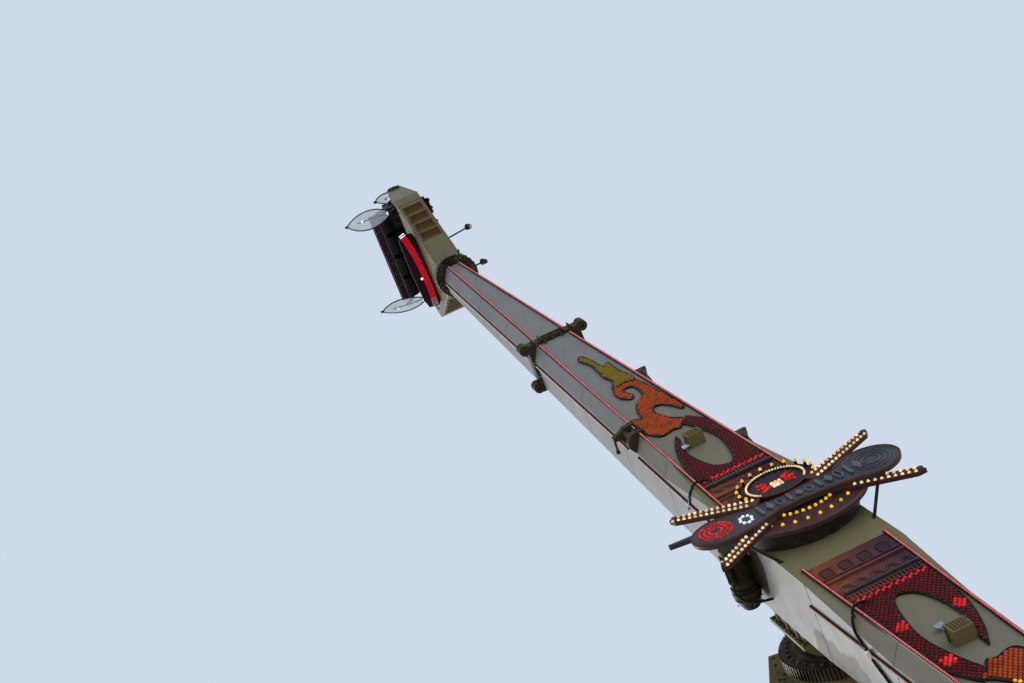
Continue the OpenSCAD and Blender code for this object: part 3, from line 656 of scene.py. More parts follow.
def stripBeads(where):
    place = ends[where]
    gap = boom["flangeT"] + strips["clear"] + strips["endGap"]
    inner = (boom["channelStart"] + strips["endGap"], boom["jointZ"] - gap)
    outer = (boom["jointZ"] + gap, boom["reach"] - strips["clear"] - strips["endGap"])
    out = boom["channelH"] + strips["lift"]
    front, sides = newMeshes(2)
    for low, high in (inner, outer):
        for way in (-1, 1):
            line = [(way * channelX(z), -out, z) for z in (low, high)]
            for point in rowBetween(*line, strips["pitch"]):
                spot = fit(place, point, toFront, 0.6)
                addDome(front, spot, strips["beadRadius"], strips["beadHeight"], 6)
    start, clamp = boom["hubFlat"] + strips["sideStart"], strips["clamp"]
    for way, runs in ((-1, ((start, clamp[0]), (clamp[1], inner[1]), outer)),
                      (1, ((start, inner[1]), outer))):
        for run in runs:
            line = [(way * (halfWidth(z) + out), boom["sideY"], z) for z in run]
            for point in rowBetween(*line, strips["sidePitch"]):
                spot = fit(place, point, (way, 0, 0))
                addDome(sides, spot, strips["sideRadius"], strips["sideHeight"], 6)
    addPiece(where + "_front_strip_beads", front, "pinkLamp")
    addPiece(where + "_side_strip_beads", sides, "peachLamp")


# lamp-covered figures on the front of each half

decor = {
    "plate": 0.012, "glue": 0.0004, "pitch": 0.036, "margin": 0.013, "capRadius": 0.0155,
    "capHeight": 0.012, "bulbRadius": 0.0145, "bulbHeight": 0.016, "edge": 0.006, "upperShift": -0.16,
    "crescentOuter": [(0.29, 1.62), (0.292, 2.12), (0.28, 2.6), (0.262, 2.98), (0.22, 3.14), (0.16, 3.29)],
    "crescentInner": [(0.07, 3.16), (0.13, 2.9), (0.18, 2.5), (0.15, 2.15), (0.09, 1.87), (0.02, 1.8),
                      (-0.08, 1.91), (-0.135, 2.2), (-0.135, 2.5), (-0.075, 2.8)],
    "crescentHorn": [(-0.075, 2.92), (-0.16, 2.7), (-0.235, 2.4), (-0.275, 2.1), (-0.29, 1.85),
                     (-0.29, 1.62)],
    "scrollLeft": [(0.07, 3.14), (0.03, 3.07), (-0.03, 3.1), (-0.11, 3.07), (-0.17, 3.08), (-0.22, 3.2),
                   (-0.25, 3.33), (-0.25, 3.56), (-0.258, 3.71), (-0.225, 3.79), (-0.185, 3.76),
                   (-0.145, 3.7), (-0.13, 3.82), (-0.11, 3.95), (-0.07, 4.1), (-0.01, 4.22), (0.05, 4.27),
                   (0.085, 4.41), (0.09, 4.56), (0.08, 4.67), (0.03, 4.71), (-0.005, 4.69), (-0.02, 4.63),
                   (-0.005, 4.54), (0.012, 4.47), (0.0, 4.38), (-0.04, 4.35), (-0.08, 4.42), (-0.11, 4.53),
                   (-0.112, 4.66), (-0.09, 4.79), (-0.065, 4.87), (0.0, 4.85), (0.06, 4.87), (0.12, 4.84)],
    "scrollRight": [(0.178, 4.8), (0.2, 4.59), (0.21, 4.38), (0.22, 4.18), (0.23, 4.04), (0.24, 3.85),
                    (0.243, 3.68), (0.235, 3.53), (0.205, 3.53), (0.18, 3.63), (0.15, 3.75), (0.1, 3.85),
                    (0.05, 3.87), (0.01, 3.82), (0.0, 3.69), (0.02, 3.56), (0.05, 3.43), (0.1, 3.33),
                    (0.16, 3.25)],
    "flame": [(-0.07, 4.88), (-0.04, 4.96), (-0.01, 5.05), (-0.01, 5.15), (-0.03, 5.32), (-0.02, 5.5),
              (-0.01, 5.69), (-0.01, 5.86), (-0.03, 6.01), (-0.05, 6.16), (-0.02, 6.27), (0.02, 6.25),
              (0.04, 6.1), (0.06, 5.95), (0.06, 5.77), (0.08, 5.63), (0.12, 5.7), (0.15, 5.69),
              (0.15, 5.55), (0.15, 5.36), (0.16, 5.2), (0.18, 5.03), (0.172, 4.83), (0.12, 4.86),
              (0.06, 4.89), (0.0, 4.87)],
    "lit": [(0.21, 2.23), (0.19, 2.88), (-0.2, 2.28)], "litOrange": [(0.05, 3.5)], "litReach": 0.052,
}


def isLit(place, spots):
    return any(math.hypot(place[0] - x, (place[1] - z) * 0.8) < decor["litReach"] for x, z in spots)


def makeDecor(where):
    lower = where == "lower"
    shift = 0.0 if lower else decor["upperShift"]
    place = ends[where] @ Matrix.Translation((0, 0, shift))
    crescent = [p for part in ("crescentOuter", "crescentInner", "crescentHorn")
                for p in flatLine(decor[part])]
    scroll = flatLine(decor["scrollLeft"], 4) + flatLine(decor["scrollRight"], 4)
    flame = flatLine(decor["flame"], 4, True)
    plates, edges = newMeshes(2)
    for shape in (crescent, scroll, flame):
        addPlate(plates, place, shape, decor["glue"], decor["plate"])
        addTrace(edges, place, shape, decor["plate"], decor["edge"], 5)
    addPiece(where + "_decor_plates", plates, "decorBack", standsFor=where + "_decor")
    for name, shape, paint, lamp, lit in (("crescent", crescent, "darkRedCap", "redLamp", decor["lit"]),
                                          ("scroll", scroll, "orangeCap", "amberLamp", decor["litOrange"]),
                                          ("flame", flame, "yellowCap", "amberLamp", [])):
        caps, bulbs = newMeshes(2)
        for spot in capPlaces(shape, decor["pitch"], decor["margin"]):
            if lower and isLit(spot, lit):
                addCaps(bulbs, place, [spot], decor["plate"], decor["bulbRadius"], decor["bulbHeight"])
            else:
                addCaps(caps, place, [spot], decor["plate"], decor["capRadius"], decor["capHeight"])
        addPiece(where + "_" + name + "_caps", caps, paint)
        if bulbs.verts:
            addPiece(where + "_" + name + "_bulbs", bulbs, lamp, smooth=True)
    addPiece(where + "_decor_edges", edges, "decorEdge")
    makeArcade(where, place, shift)


# the relief panel next to the hub
arcade = {"low": 0.85, "high": 1.585, "inset": 0.02, "ground": 0.008, "line": 0.005,
          "squaresZ": 1.045, "square": (0.084, 0.14), "corner": 0.02,
          "squares": (0.235, 0.085, -0.065, -0.215),
          "ledgeZ": 1.21, "archZ": 1.41, "archRadius": 0.055, "arches": (0.235, 0.118, 0.0, -0.118, -0.235),
          "barZ": 1.48, "railZ": (1.52, 1.6), "rungs": (0.27, 0.03), "bulbZ": (1.628, 1.652),
          "bulbs": (0.265, 0.052)}


def makeArcade(where, place, shift):
    def reachAt(z):
        return channelX(z + shift) - arcade["inset"]

    thick, line = arcade["ground"], arcade["line"]
    ground, squares, relief, bar, bulbs = newMeshes(5)
    low, high = max(arcade["low"], boom["channelStart"] - shift + arcade["inset"]), arcade["high"]
    outline = [(-reachAt(low), low), (reachAt(low), low), (reachAt(high), high), (-reachAt(high), high)]
    addPlate(ground, place, outline, decor["glue"], thick)
    corner = arcade["corner"]
    halfX, halfZ = (size / 2 - corner for size in arcade["square"])
    for x in arcade["squares"]:
        outline = []
        for sx, sz, start in ((1, 1, 0), (-1, 1, 90), (-1, -1, 180), (1, -1, 270)):
            middle = (x + sx * halfX, arcade["squaresZ"] + sz * halfZ)
            outline += arcPoints(middle, corner, corner, start, start + 90, 4)
        addPlate(squares, place, outline, thick, 0.006)
        addTrace(squares, place, outline, thick + 0.006, line, 5)
    railLow, railHigh = arcade["railZ"]
    for z, tall, out in ((arcade["ledgeZ"], 0.02, 0.02), (arcade["ledgeZ"] - 0.07, 0.01, 0.014),
                         (railLow, 0.008, 0.016), (railHigh, 0.008, 0.016)):
        addBox(relief, place, (0, -thick - out / 2, z), (2 * reachAt(z), out, tall), 0.002)
    for x in arcade["arches"]:
        for radius in (arcade["archRadius"], arcade["archRadius"] * 0.62):
            arch = arcPoints((x, arcade["archZ"]), radius, radius * 1.5, 180, 360, 11)
            addTrace(relief, place, arch, thick + line, line, 5, False)
        addCaps(relief, place, [(x, arcade["archZ"])], thick, 0.018, 0.012)
    reach, pitch = arcade["rungs"]
    for x in spread(-reach, reach, pitch):
        addBox(relief, place, (x, -0.014, (railLow + railHigh) / 2), (0.009, 0.012, railHigh - railLow))
    addBox(bar, place, (0, -0.024, arcade["barZ"]), (2 * reachAt(arcade["barZ"]), 0.03, 0.026), 0.004)
    reach, pitch = arcade["bulbs"]
    for z, start in zip(arcade["bulbZ"], (-reach, pitch / 2 - reach)):
        spots = [(x, z) for x in spread(start, start + 10 * pitch, pitch)]
        addCaps(bulbs, place, spots, decor["plate"], 0.0135, decor["bulbHeight"], 8, 3)
    addPiece(where + "_arcade_ground", ground, "arcadeGround")
    addPiece(where + "_arcade_squares", squares, "arcadeSquare")
    addPiece(where + "_arcade_relief", relief, "arcadeRelief")
    addPiece(where + "_arcade_bar", bar, "slateBoard")
    addPiece(where + "_row_bulbs", bulbs, "redLamp", smooth=True)


# the sign at the hub, with plain ornament

sign = {
    "boardY": 0.238, "rayY": 0.202, "bowlY": 0.166, "crestY": 0.202, "rim": 0.0105, "bead": 0.006,
    "boardEnds": (((-0.63, -0.064), 0.232), ((0.61, -0.08), 0.27)),
    "waist": [(-0.35, 0.07), (-0.09, 0.02), (0.15, 0.045), (0.38, 0.05)],
    "belly": [(0.39, -0.27), (0.25, -0.23), (0.04, -0.19), (-0.18, -0.19), (-0.43, -0.28)],
    "staves": 11, "staveStart": -0.29, "stavePitch": 0.083, "staveZ": -0.078,
    "rings": (0.655, -0.08), "ringRadii": (0.085, 0.135, 0.18),
    "red": (-0.66, -0.045), "redRings": ((0.125, 0.145, 26), (0.09, 0.105, 20), (0.05, 0.058, 10)),
    "white": (-0.42, -0.09), "whiteRing": (0.045, 0.07, 8),
    "crest": (0.025, 0.42), "crestBeads": 0.238, "crestBulbs": 0.312, "socket": 0.045,
    "petals": (0.09, 0.12, 0.15), "petal": 0.0165, "heartPitch": 0.032, "crestRibs": (0.18, 0.212),
    "bowl": (0.05, 0.0), "bowlRim": 0.525, "bowlRing": 0.36, "flutes": (0.385, 0.405), "bulb": 0.0145,
    "rayRoot": (0.0, 0.05), "rayBulb": 0.0135, "rayKnob": 0.026,
    "rayTips": [(-0.833, 0.611), (-0.84, -0.6), (0.901, 0.555), (0.873, -0.579)],
}


def boardOutline(inset=0.0):
    (left, leftR), (right, rightR) = sign["boardEnds"]
    waist = [(x, z - inset) for x, z in sign["waist"]]
    belly = [(x, z + inset) for x, z in sign["belly"]]
    return arcPoints(right, rightR - inset, rightR - inset, -100, 100, 22) + waist[::-1] \
        + arcPoints(left, leftR - inset, leftR - inset, 82, 278, 22) + belly[::-1]


def makeSignBoard():
    out, middle = sign["boardY"], sign["staveZ"]
    rim, relief, red, white = newMeshes(4)
    addTrace(rim, boomFrame, boardOutline(0.004), out - 0.004, sign["rim"], 7)
    for inset in (0.03, 0.045):
        addTrace(relief, boomFrame, boardOutline(inset), out, 0.004, 5)
    for i in range(sign["staves"]):  # plain rings, staves and lozenges in turn
        x, tall = sign["staveStart"] + i * sign["stavePitch"], 0.06 + 0.05 * abs(i - 4) / 7
        if i % 3 == 1:
            lozenge = [(x, middle - tall), (x + 0.032, middle), (x, middle + tall), (x - 0.032, middle)]
            addPlate(relief, boomFrame, lozenge, out, 0.016)
        elif i % 3 == 2:
            addTrace(relief, boomFrame, oval((x, middle), 0.026, tall * 0.85, 24), out + 0.004, 0.009)
        else:
            addBox(relief, boomFrame, (x, -out - 0.008, middle), (0.03, 0.017, 2 * tall), 0.004)
    for radius in sign["ringRadii"]:
        ring = oval(sign["rings"], radius * 0.8, radius, 36)
        addTrace(relief, boomFrame, ring, out + 0.002, sign["bead"], 5)
    for ring in sign["redRings"]:
        addCaps(red, boomFrame, oval(sign["red"], *ring), out, 0.0125, 0.012)
    addCaps(white, boomFrame, oval(sign["white"], *sign["whiteRing"]), out, 0.015, 0.014, 8, 3)
    addPiece("sign_board_rim", rim, "rustPanel")
    addPiece("sign_board_relief", relief, "slateRelief")
    addPiece("sign_red_bulbs", red, "redLamp", smooth=True)
    addPiece("sign_white_bulbs", white, "whiteLamp", smooth=True)


def makeSignCrest():
    middle, out, bowlY = sign["crest"], sign["crestY"], sign["bowlY"]
    floorY = out - 0.014
    beads, sockets, bulbs, rims, petals, heart, ribs = newMeshes(7)
    spots = arcPoints(middle, sign["crestBeads"], sign["crestBeads"], -32, 218, 44)
    addCaps(beads, boomFrame, spots, out, 0.0095, 0.012)
    spots = arcPoints(middle, sign["crestBulbs"], sign["crestBulbs"], -20, 200, 13)
    for x, z in spots:
        addPrism(sockets, fit(boomFrame, (x, -bowlY, z), toFront), 0.012, sign["socket"], 10, 0.1)
    addCaps(bulbs, boomFrame, spots, bowlY + sign["socket"], sign["bulb"], 0.022, 8, 3)
    addTrace(rims, boomFrame, oval(middle, 0.326, 0.326, 48), bowlY, 0.007)
    addTrace(rims, boomFrame, oval(middle, 0.252, 0.252, 48), out - 0.003, sign["bead"])
    for radius in sign["petals"]:  # a plain rosette, with nothing above and below its heart
        wide = [p for p in oval(middle, radius, radius, 12) if abs(p[1] - middle[1]) < 0.6 * radius]
        addCaps(petals, boomFrame, wide, floorY, sign["petal"], 0.016)
    pitch = sign["heartPitch"]
    square = [(middle[0] + pitch * k, middle[1] - 0.03 + pitch * row)
              for row in (-1, 0, 1) for k in (-1, 0, 1)]
    addCaps(heart, boomFrame, square, floorY, sign["petal"], 0.02, 8, 3)
    for rib in zip(*(oval(middle, radius, radius, 24) for radius in sign["crestRibs"])):
        addTrace(ribs, boomFrame, rib, floorY, 0.005, 5, False)
    addPiece("sign_crest_beads", beads, "warmLamp", smooth=True)
    addPiece("sign_crest_sockets", sockets, "crestBoard")
    addPiece("sign_crest_bulbs", bulbs, "yellowLamp", smooth=True)
    addPiece("sign_crest_rims", rims, "rustPanel")
    addPiece("sign_crest_red_bulbs", petals, "redLamp", smooth=True)
    addPiece("sign_crest_heart", heart, "warmLamp", smooth=True)
    addPiece("sign_crest_ribs", ribs, "slateRelief")


def makeSignBowl():
    middle, out = sign["bowl"], sign["bowlY"]
    bulbs, rims, flutes = newMeshes(3)
    spots = arcPoints((0.055, 0.02), 0.29, 0.265, 204, 336, 14)
    spots += arcPoints((0.05, 0.02), 0.44, 0.425, 192, 348, 13)
    addCaps(bulbs, boomFrame, [p for p in spots if p[1] < -0.07], out, sign["bulb"], 0.02, 8, 3)
    outer = (sign["bowlRim"], 188, 46, out - 0.003, sign["rim"], 7)
    inner = (sign["bowlRing"], 194, 40, out, sign["bead"], 6)
    for radius, start, count, depth, thick, sides in (outer, inner):
        arc = arcPoints(middle, radius, radius, start, 540 - start, count)
        addTrace(rims, boomFrame, arc, depth, thick, sides, False)
    for flute in zip(*(arcPoints(middle, radius, radius, 200, 340, 17) for radius in sign["flutes"])):
        addTrace(flutes, boomFrame, flute, out, sign["bead"], 5, False)
    addPiece("sign_bowl_bulbs", bulbs, "yellowLamp", smooth=True)
    addPiece("sign_bowl_rims", rims, "pinkRim")
    addPiece("sign_bowl_flutes", flutes, "copperBoard")


def makeSignRays():
    bulbs, edges, knobs = newMeshes(3)
    root, out = Vector(sign["rayRoot"]), sign["rayY"]
    for tip in sign["rayTips"]:
        run = Vector(tip) - root
        along = run.normalized()
        across = Vector((-along.y, along.x))
        for i in range(14):
            distance, wide = 0.33 + i * (run.length - 0.36) / 13.5, 0.042 - 0.012 * i / 13
            for way in (-1, 1):
                spot = root + along * (distance + 0.014 * way) + across * wide * way
                clear = (spot - Vector(sign["crest"])).length > 0.27
                if clear and not isInside(spot.x, spot.y, boardOutline(-0.01)):
                    addCaps(bulbs, boomFrame, [spot], out, sign["rayBulb"], 0.018, 8, 3)
        corners = ((0.27, 0.062), (run.length - 0.06, 0.042), (run.length - 0.004, 0.0),
                   (run.length - 0.06, -0.042), (0.27, -0.062))
        outline = [root + along * u + across * w for u, w in corners]
        addTrace(edges, boomFrame, outline, out - 0.003, 0.0065, 6, False)
        end = Vector(tip) - along * 0.045
        addPrism(knobs, fit(boomFrame, (end.x, -out, end.y), toFront), sign["rayKnob"], 0.02, 12)
    addPiece("sign_ray_bulbs", bulbs, "warmLamp", smooth=True)
    addPiece("sign_ray_edges", edges, "rustPanel")
    addPiece("sign_ray_ends", knobs, "slateBoard")


drum = {"ribs": 36, "ribRadius": 0.455, "rib": (0.012, 0.11, 0.014), "ribY": -0.065, "ringRadius": 0.46,
        "rings": (0.006, 0.124)}


def makeDrum():
    (ribs,) = newMeshes(1)
    for i in range(drum["ribs"]):
        a = 2 * math.pi * i / drum["ribs"]
        spot = (drum["ribRadius"] * math.cos(a), drum["ribY"], drum["ribRadius"] * math.sin(a))
        addBox(ribs, boomFrame, spot, drum["rib"], 0.002, Matrix.Rotation(-a, 4, "Y"))
    for depth in drum["rings"]:
        addTrace(ribs, boomFrame, oval((0, 0), drum["ringRadius"], drum["ringRadius"], 72), depth, 0.007)
    addPiece("hub_drum_ribs", ribs, "drumBlack")


# bolted joints, brackets and pipes on the boom

flange = {"boltPitch": 0.095, "bolt": (0.0155, 0.016), "skirt": 0.018, "front": -0.016, "ribOut": 0.016,
          "ribHeight": 0.075, "ribHalf": 0.007, "lugOut": 0.03, "lugY": (-0.004, 0.026),
          "lug": (0.0225, 0.044, 0.008)}


def flangeDetails(where):
    place, z = ends[where], boom["jointZ"]
    thick, pitch, skirt = boom["flangeT"] + boom["flangeGap"] / 2, flange["boltPitch"], flange["skirt"]
    w, d, f = halfWidth(z) + skirt, boomDepth(z) + skirt, flange["front"]
    corners = [(-w, f), (w, f), (w, d), (-w, d)]
    bolts, ribs, rings = newMeshes(3)
    for way in (-1, 1):
        face, up = z + way * thick, Vector((0, 0, way))
        for (x0, y0), (x1, y1) in zip(corners, corners[1:] + corners[:1]):
            row = rowBetween((x0, y0, face), (x1, y1, face), pitch)[1:-1]
            addBolts(bolts, place, row, up, *flange["bolt"])
            out = Vector((math.copysign(x0 == x1, x0), math.copysign(y0 == y1, y0), 0))
            across = Vector((out.y, out.x, 0)) * flange["ribHalf"]
            for point in rowBetween((x0, y0, face), (x1, y1, face), 2 * pitch)[1:-1]:
                foot = point - out * flange["ribOut"]
                wedge = (foot, point + out * flange["ribOut"], foot + up * flange["ribHeight"])
                skin(ribs, place, [[p + across * s for p in wedge] for s in (1, -1)])
        for side in (-1, 1):
            lugX = side * (halfWidth(z) + boom["flangeLip"] + flange["lugOut"])
            for y in (flange["lugY"][0], boomDepth(z) - flange["lugY"][1]):
                addDisc(rings, fit(place, (lugX, y, face), up), *flange["lug"])
            addBox(ribs, place, (way * channelX(z) + side * 0.045, -0.047, z), (0.014, 0.03, 0.2), 0.003)
        addBox(ribs, place, (0, -0.041, z + way * 0.055), (2 * channelX(z) - 0.12, 0.016, 0.016), 0.003)
    addPiece(where + "_flange_bolts", bolts, "boltSteel")
    addPiece(where + "_flange_ribs", ribs, "bracketPaint")
    addPiece(where + "_lug_rings", rings, "bracketPaint")


panels = {"seams": (1.02, 2.35, 3.75, 5.2, 8.6, 10.1, 11.5), "bead": 0.003, "squareTo": 1.5,
          "covers": (1.75, 4.5, 6.4, 9.2), "cover": (0.3, 0.012, 0.42), "boltX": 0.12, "boltZ": 0.17}


def boomSeams(where):
    place = ends[where]
    seams, covers, bolts = newMeshes(3)
    for z in panels["seams"]:  # round the sides and the back, with none across the front
        w, d, c, cd = halfWidth(z), boomDepth(z), boom["chamferW"], boom["chamferD"]
        line = [(w - c, 0), (w, cd), (w, d), (-w, d), (-w, cd), (c - w, 0)]
        if z < panels["squareTo"]:
            line = [(w, 0), (w, d), (-w, d), (-w, 0)]
        addTube(seams, place, [(x, y, z) for x, y in line], panels["bead"], 5)
    for z in panels["covers"]:
        d = boomDepth(z)
        addBox(covers, place, (0, d + 0.004, z), panels["cover"], 0.003)
        for x in (-panels["boltX"], panels["boltX"]):
            half = panels["boltZ"]
            row = rowBetween((x, d + 0.01, z - half), (x, d + 0.01, z + half), half / 2)
            addBolts(bolts, place, row, toBack, 0.009, 0.007)
    addPiece(where + "_boom_weld_beads", seams, "boomPaint")
    addPiece(where + "_boom_covers", covers, "boomPaint")
    addPiece(where + "_cover_bolts", bolts, "boltSteel")


edge = {
    "finY": (0.09, 0.13), "fins": [(4.75, 0.5), (2.03, 0.48)], "finHeight": 0.105,
    "clampNear": (3.2, 3.27), "clampFar": (3.46, 3.53), "clampZ": 3.37,
    "nearShape": [(0.135, -0.001), (0.08, -0.001), (-0.001, 0.145), (-0.022, 0.12), (-0.05, 0.075),
                  (-0.045, 0.025), (0.01, -0.042), (0.135, -0.042)],
    "farShape": [(0.12, -0.001), (0.08, -0.001), (-0.001, 0.145), (-0.02, 0.115), (-0.045, 0.065),
                 (-0.115, 0.055), (-0.115, 0.018), (-0.045, -0.002), (0.01, -0.04), (0.12, -0.04)],
    "handle": [(-0.1, 0.03, 3.5), (-0.103, 0.1, 3.505), (-0.106, 0.17, 3.512)],
    "knob": (-0.106, 0.16, 3.512),
}


def finsOn(where):
    return edge["fins"][:1] if where == "lower" else edge["fins"]


# sighting fins on the right edge and a release clamp on the left one
def makeEdgeFittings():
    (metal,) = newMeshes(1)
    near, far = edge["finY"]
    for where, place in ends.items():
        for low, long in finsOn(where):
            high, tall = low + long, edge["finHeight"]
            foot, out = halfWidth(low), halfWidth(high)
            shape = [(foot - 0.04, low), (foot + 0.004, low), (out + 0.4 * tall, low + 0.55 * long),
                     (out + tall, high - 0.012), (out + 0.85 * tall, high + 0.012), (out - 0.03, high)]
            addPlate(metal, place, shape, -far, far - near)
            addBox(metal, place, (out + 0.02, 0.086, low + 0.6 * long), (0.014, 0.012, 0.3 * long))
        for name in ("near", "far"):
            low, high = edge["clamp" + name.title()]
            addBar(metal, place, [(x - halfWidth(low), y) for x, y in edge[name + "Shape"]], low, high)
        side = -halfWidth(edge["clampZ"])
        addBox(metal, place, (side + 0.01, 0.01, 3.365), (0.05, 0.035, 0.15), 0.004,
               Matrix.Rotation(0.5, 4, "Z"))
        addTube(metal, place, [(side + x, y, z) for x, y, z in edge["handle"]], 0.012)
        x, y, z = edge["knob"]
        addPrism(metal, fit(place, (side + x, y, z), toBack), 0.019, 0.03, 10)
        for z in (3.25, 3.48):
            for x in (0.07, 0.11):
                addPrism(metal, fit(place, (side + x, -0.051, z), toFront), 0.012, 0.01)
    addPiece("edge_fittings", metal, "bracketPaint", standsFor="edge_brackets")


# cables clipped to the boom, from the lamps to the side
cable = {
    "radius": 0.0105, "lift": 0.011, "upperShift": -0.25, "clips": (2, 14, 25, 36, 46), "upperPoints": 6,
    "upperClips": 3,
    # how far in from the side, how deep and how high each point lies
    "route": [(0.22, -0.016, 1.7), (0.12, -0.045, 1.715), (0.06, -0.03, 1.75), (0.0, 0.07, 1.8),
              (0.0, 0.16, 1.9), (0.0, 0.27, 2.04), (0.0, 0.38, 2.25), (0.0, 0.46, 2.5), (0.0, 0.54, 2.85)],
}


def boomHoses(where):
    place, side, shift, route, clipsAt = ends[where], 1, 0.0, cable["route"], cable["clips"]
    if where == "upper":  # it goes into the side of the boom
        side, shift = -1, cable["upperShift"]
        route, clipsAt = route[:cable["upperPoints"]], clipsAt[:cable["upperClips"]]
    hose, clips = newMeshes(2)
    points = []
    for inward, y, z in route:
        z += shift
        runOut = min(1.0, max(0.0, (z - boom["hubFlat"]) / (boom["chamferFull"] - boom["hubFlat"])))
        surface = halfWidth(z) - boom["chamferW"] * max(0.0, runOut - max(0.0, y) / boom["chamferD"])
        points.append((side * (min(surface, halfWidth(z) - inward) + cable["lift"]), y, z))
    line = smoothLine(points, 6)
    addTube(hose, place, line, cable["radius"])
    for i in clipsAt:
        way = Vector(toFront if i < 8 else (side, 0, 0))
        addBox(clips, fit(place, line[i] - 0.004 * way, way), (0, 0, 0), (0.034, 0.034, 0.022), 0.003)
    addPiece(where + "_boom_cable", hose, "hoseBlack", smooth=True)
    addPiece(where + "_cable_clips", clips, "bracketPaint")


# each value is for the upper half, then the lower one
flood = {"z": (2.35, 2.62), "bracketX": (-0.15, 0.01), "bracketDrop": (0.03, 0.19), "markerZ": 2.0}


def lampDetails(where):
    place, lower = ends[where], where == "lower"
    low, x, drop = (flood[key][lower] for key in ("z", "bracketX", "bracketDrop"))
    cover, arms, bracket, marker, tips = newMeshes(5)
    addBox(cover, place, (0, -0.1, low + 0.075), (0.121, 0.012, 0.121), 0.003)
    for k in range(5):
        addBox(cover, place, (-0.044 + 0.022 * k, -0.11, low + 0.075), (0.005, 0.012, 0.1))
    for side in (-1, 1):
        addBox(arms, place, (side * 0.079, -0.06, low + 0.04), (0.006, 0.12, 0.026), 0.002)
        addPrism(arms, fit(place, (side * 0.079, -0.085, low + 0.04), (side, 0, 0)), 0.012, 0.01)
    z = low - drop
    addPlate(bracket, place, [(x, z), (x + 0.075, z + 0.015), (x + 0.06, z + 0.07), (x + 0.01, z + 0.085)],
             0.03, 0.008)
    addTube(bracket, place, [(x + 0.035, -0.0005, z + 0.04), (x + 0.035, -0.034, z + 0.04)], 0.01)
    addTube(bracket, place, [(x + 0.055, -0.034, z + 0.05), (0.03, -0.034, low + 0.01)], 0.006, 7)
    addPiece(where + "_lamp_bracket", bracket, "brightSteel")
    addPiece(where + "_lamp_cover", cover, "khakiPaint")
    addPiece(where + "_lamp_arms", arms, "boltSteel")
    if lower:
        z = flood["markerZ"]
        spot = fit(place, (halfWidth(z) + boom["channelH"], boom["sideY"], z), (1, 0, 0))
        addDisc(marker, spot, 0.02, 0.034, 0.016, 20)
        addDome(marker, spot, 0.021, 0.012, 14, 3)
        addPiece("lower_side_marker", marker, "whiteLens", smooth=True)
    for low, long in finsOn(where):
        spot = (halfWidth(low + long) + 0.075, 0.089, low + long - 0.045)
        addPrism(tips, fit(place, spot, toFront), 0.014, 0.01, 12)
    addPiece(where + "_fin_lights", tips, "boltSteel")


# turning gear behind the boom

motor = {"x": -0.533, "z": 0.264, "fins": 13, "finY": 0.155, "finPitch": 0.016, "boltRing": 0.106,
         "box": (0.06, 0.12, 0.085), "pipe": 0.011}


def makeMotor():
    x, z, ring = motor["x"], motor["z"], motor["boltRing"]
    fins, body, bolts = newMeshes(3)
    for k in range(motor["fins"]):
        y = motor["finY"] + motor["finPitch"] * k
        addDisc(fins, fit(boomFrame, (x, y, z), toBack), 0.095, 0.109, 0.006, 32)
    addDisc(body, fit(boomFrame, (x, 0.586, z), toBack), 0.0, 0.062, 0.012, 28)
    addDisc(body, fit(boomFrame, (x, 0.398, z), toBack), 0.1, 0.1145, 0.028, 40)
    addBox(body, boomFrame, (x - 0.085, 0.25, z - 0.075), motor["box"], 0.006,
           Matrix.Rotation(math.radians(41), 4, "Y"))
    pipe = [(x - 0.09, 0.3, z - 0.09), (x - 0.12, 0.38, z - 0.13), (x - 0.05, 0.47, z - 0.19),
            (-0.41, 0.5, z - 0.24)]
    addTube(body, boomFrame, smoothLine(pipe, 6), motor["pipe"])
    for boltX, boltZ in oval((x, z), ring, ring, 8):
        addPrism(bolts, fit(boomFrame, (boltX, 0.12, boltZ), toFront), 0.008, 0.01)
        addPrism(bolts, fit(boomFrame, (boltX, 0.54, boltZ), toBack), 0.008, 0.006)
    addPiece("motor_cooling_fins", fins, "bracketPaint")
    addPiece("motor_fittings", body, "drumBlack")
    addPiece("motor_bolts", bolts, "boltSteel")


turnPlate = {"frontY": 0.792, "backY": 0.826, "sideX": 0.402, "sideZ": 0.31, "endZ": 0.333, "endX": 0.34,
             "bolt": (0.014, 0.014), "ribX": 0.391, "gearY": 1.0063, "gearRing": 0.46}


def makeTurningBolts():
    front, back, x, z, endX = (turnPlate[key] for key in ("frontY", "backY", "sideX", "sideZ", "endX"))
    bolts, ribs, ring = newMeshes(3)
    for way in (-1, 1):
        for y, facing in ((front, toFront), (back, toBack)):
            row = rowBetween((way * x, y, -z), (way * x, y, z), 0.069)
            addBolts(bolts, boomFrame, row, facing, *turnPlate["bolt"])
        endZ = way * turnPlate["endZ"]
        row = rowBetween((-endX, front, endZ), (endX, front, endZ), 0.068)
        addBolts(bolts, boomFrame, row, toFront, *turnPlate["bolt"])
        for ribZ in (-0.2, 0.0, 0.2):
            addBox(ribs, boomFrame, (way * turnPlate["ribX"], 0.726, ribZ), (0.018, 0.128, 0.016), 0.002)
    middle = hubPoint + Vector((0, turnPlate["gearY"], 0))
    radius = turnPlate["gearRing"]
    for i, (x, z) in enumerate(oval((middle.x, middle.z), radius, radius, 36)):
        addPrism(ring, fit(world, (x, middle.y, z), toFront, 0.3 * i), 0.016, 0.016)
    addDisc(ring, fit(world, middle, toFront), 0.385, 0.41, 0.012, 64)
    addPiece("turn_plate_bolts", bolts, "boltSteel")
    addPiece("turn_plate_ribs", ribs, "khakiPaint")
    addPiece("ring_gear_bolts", ring, "boltSteel", "base")


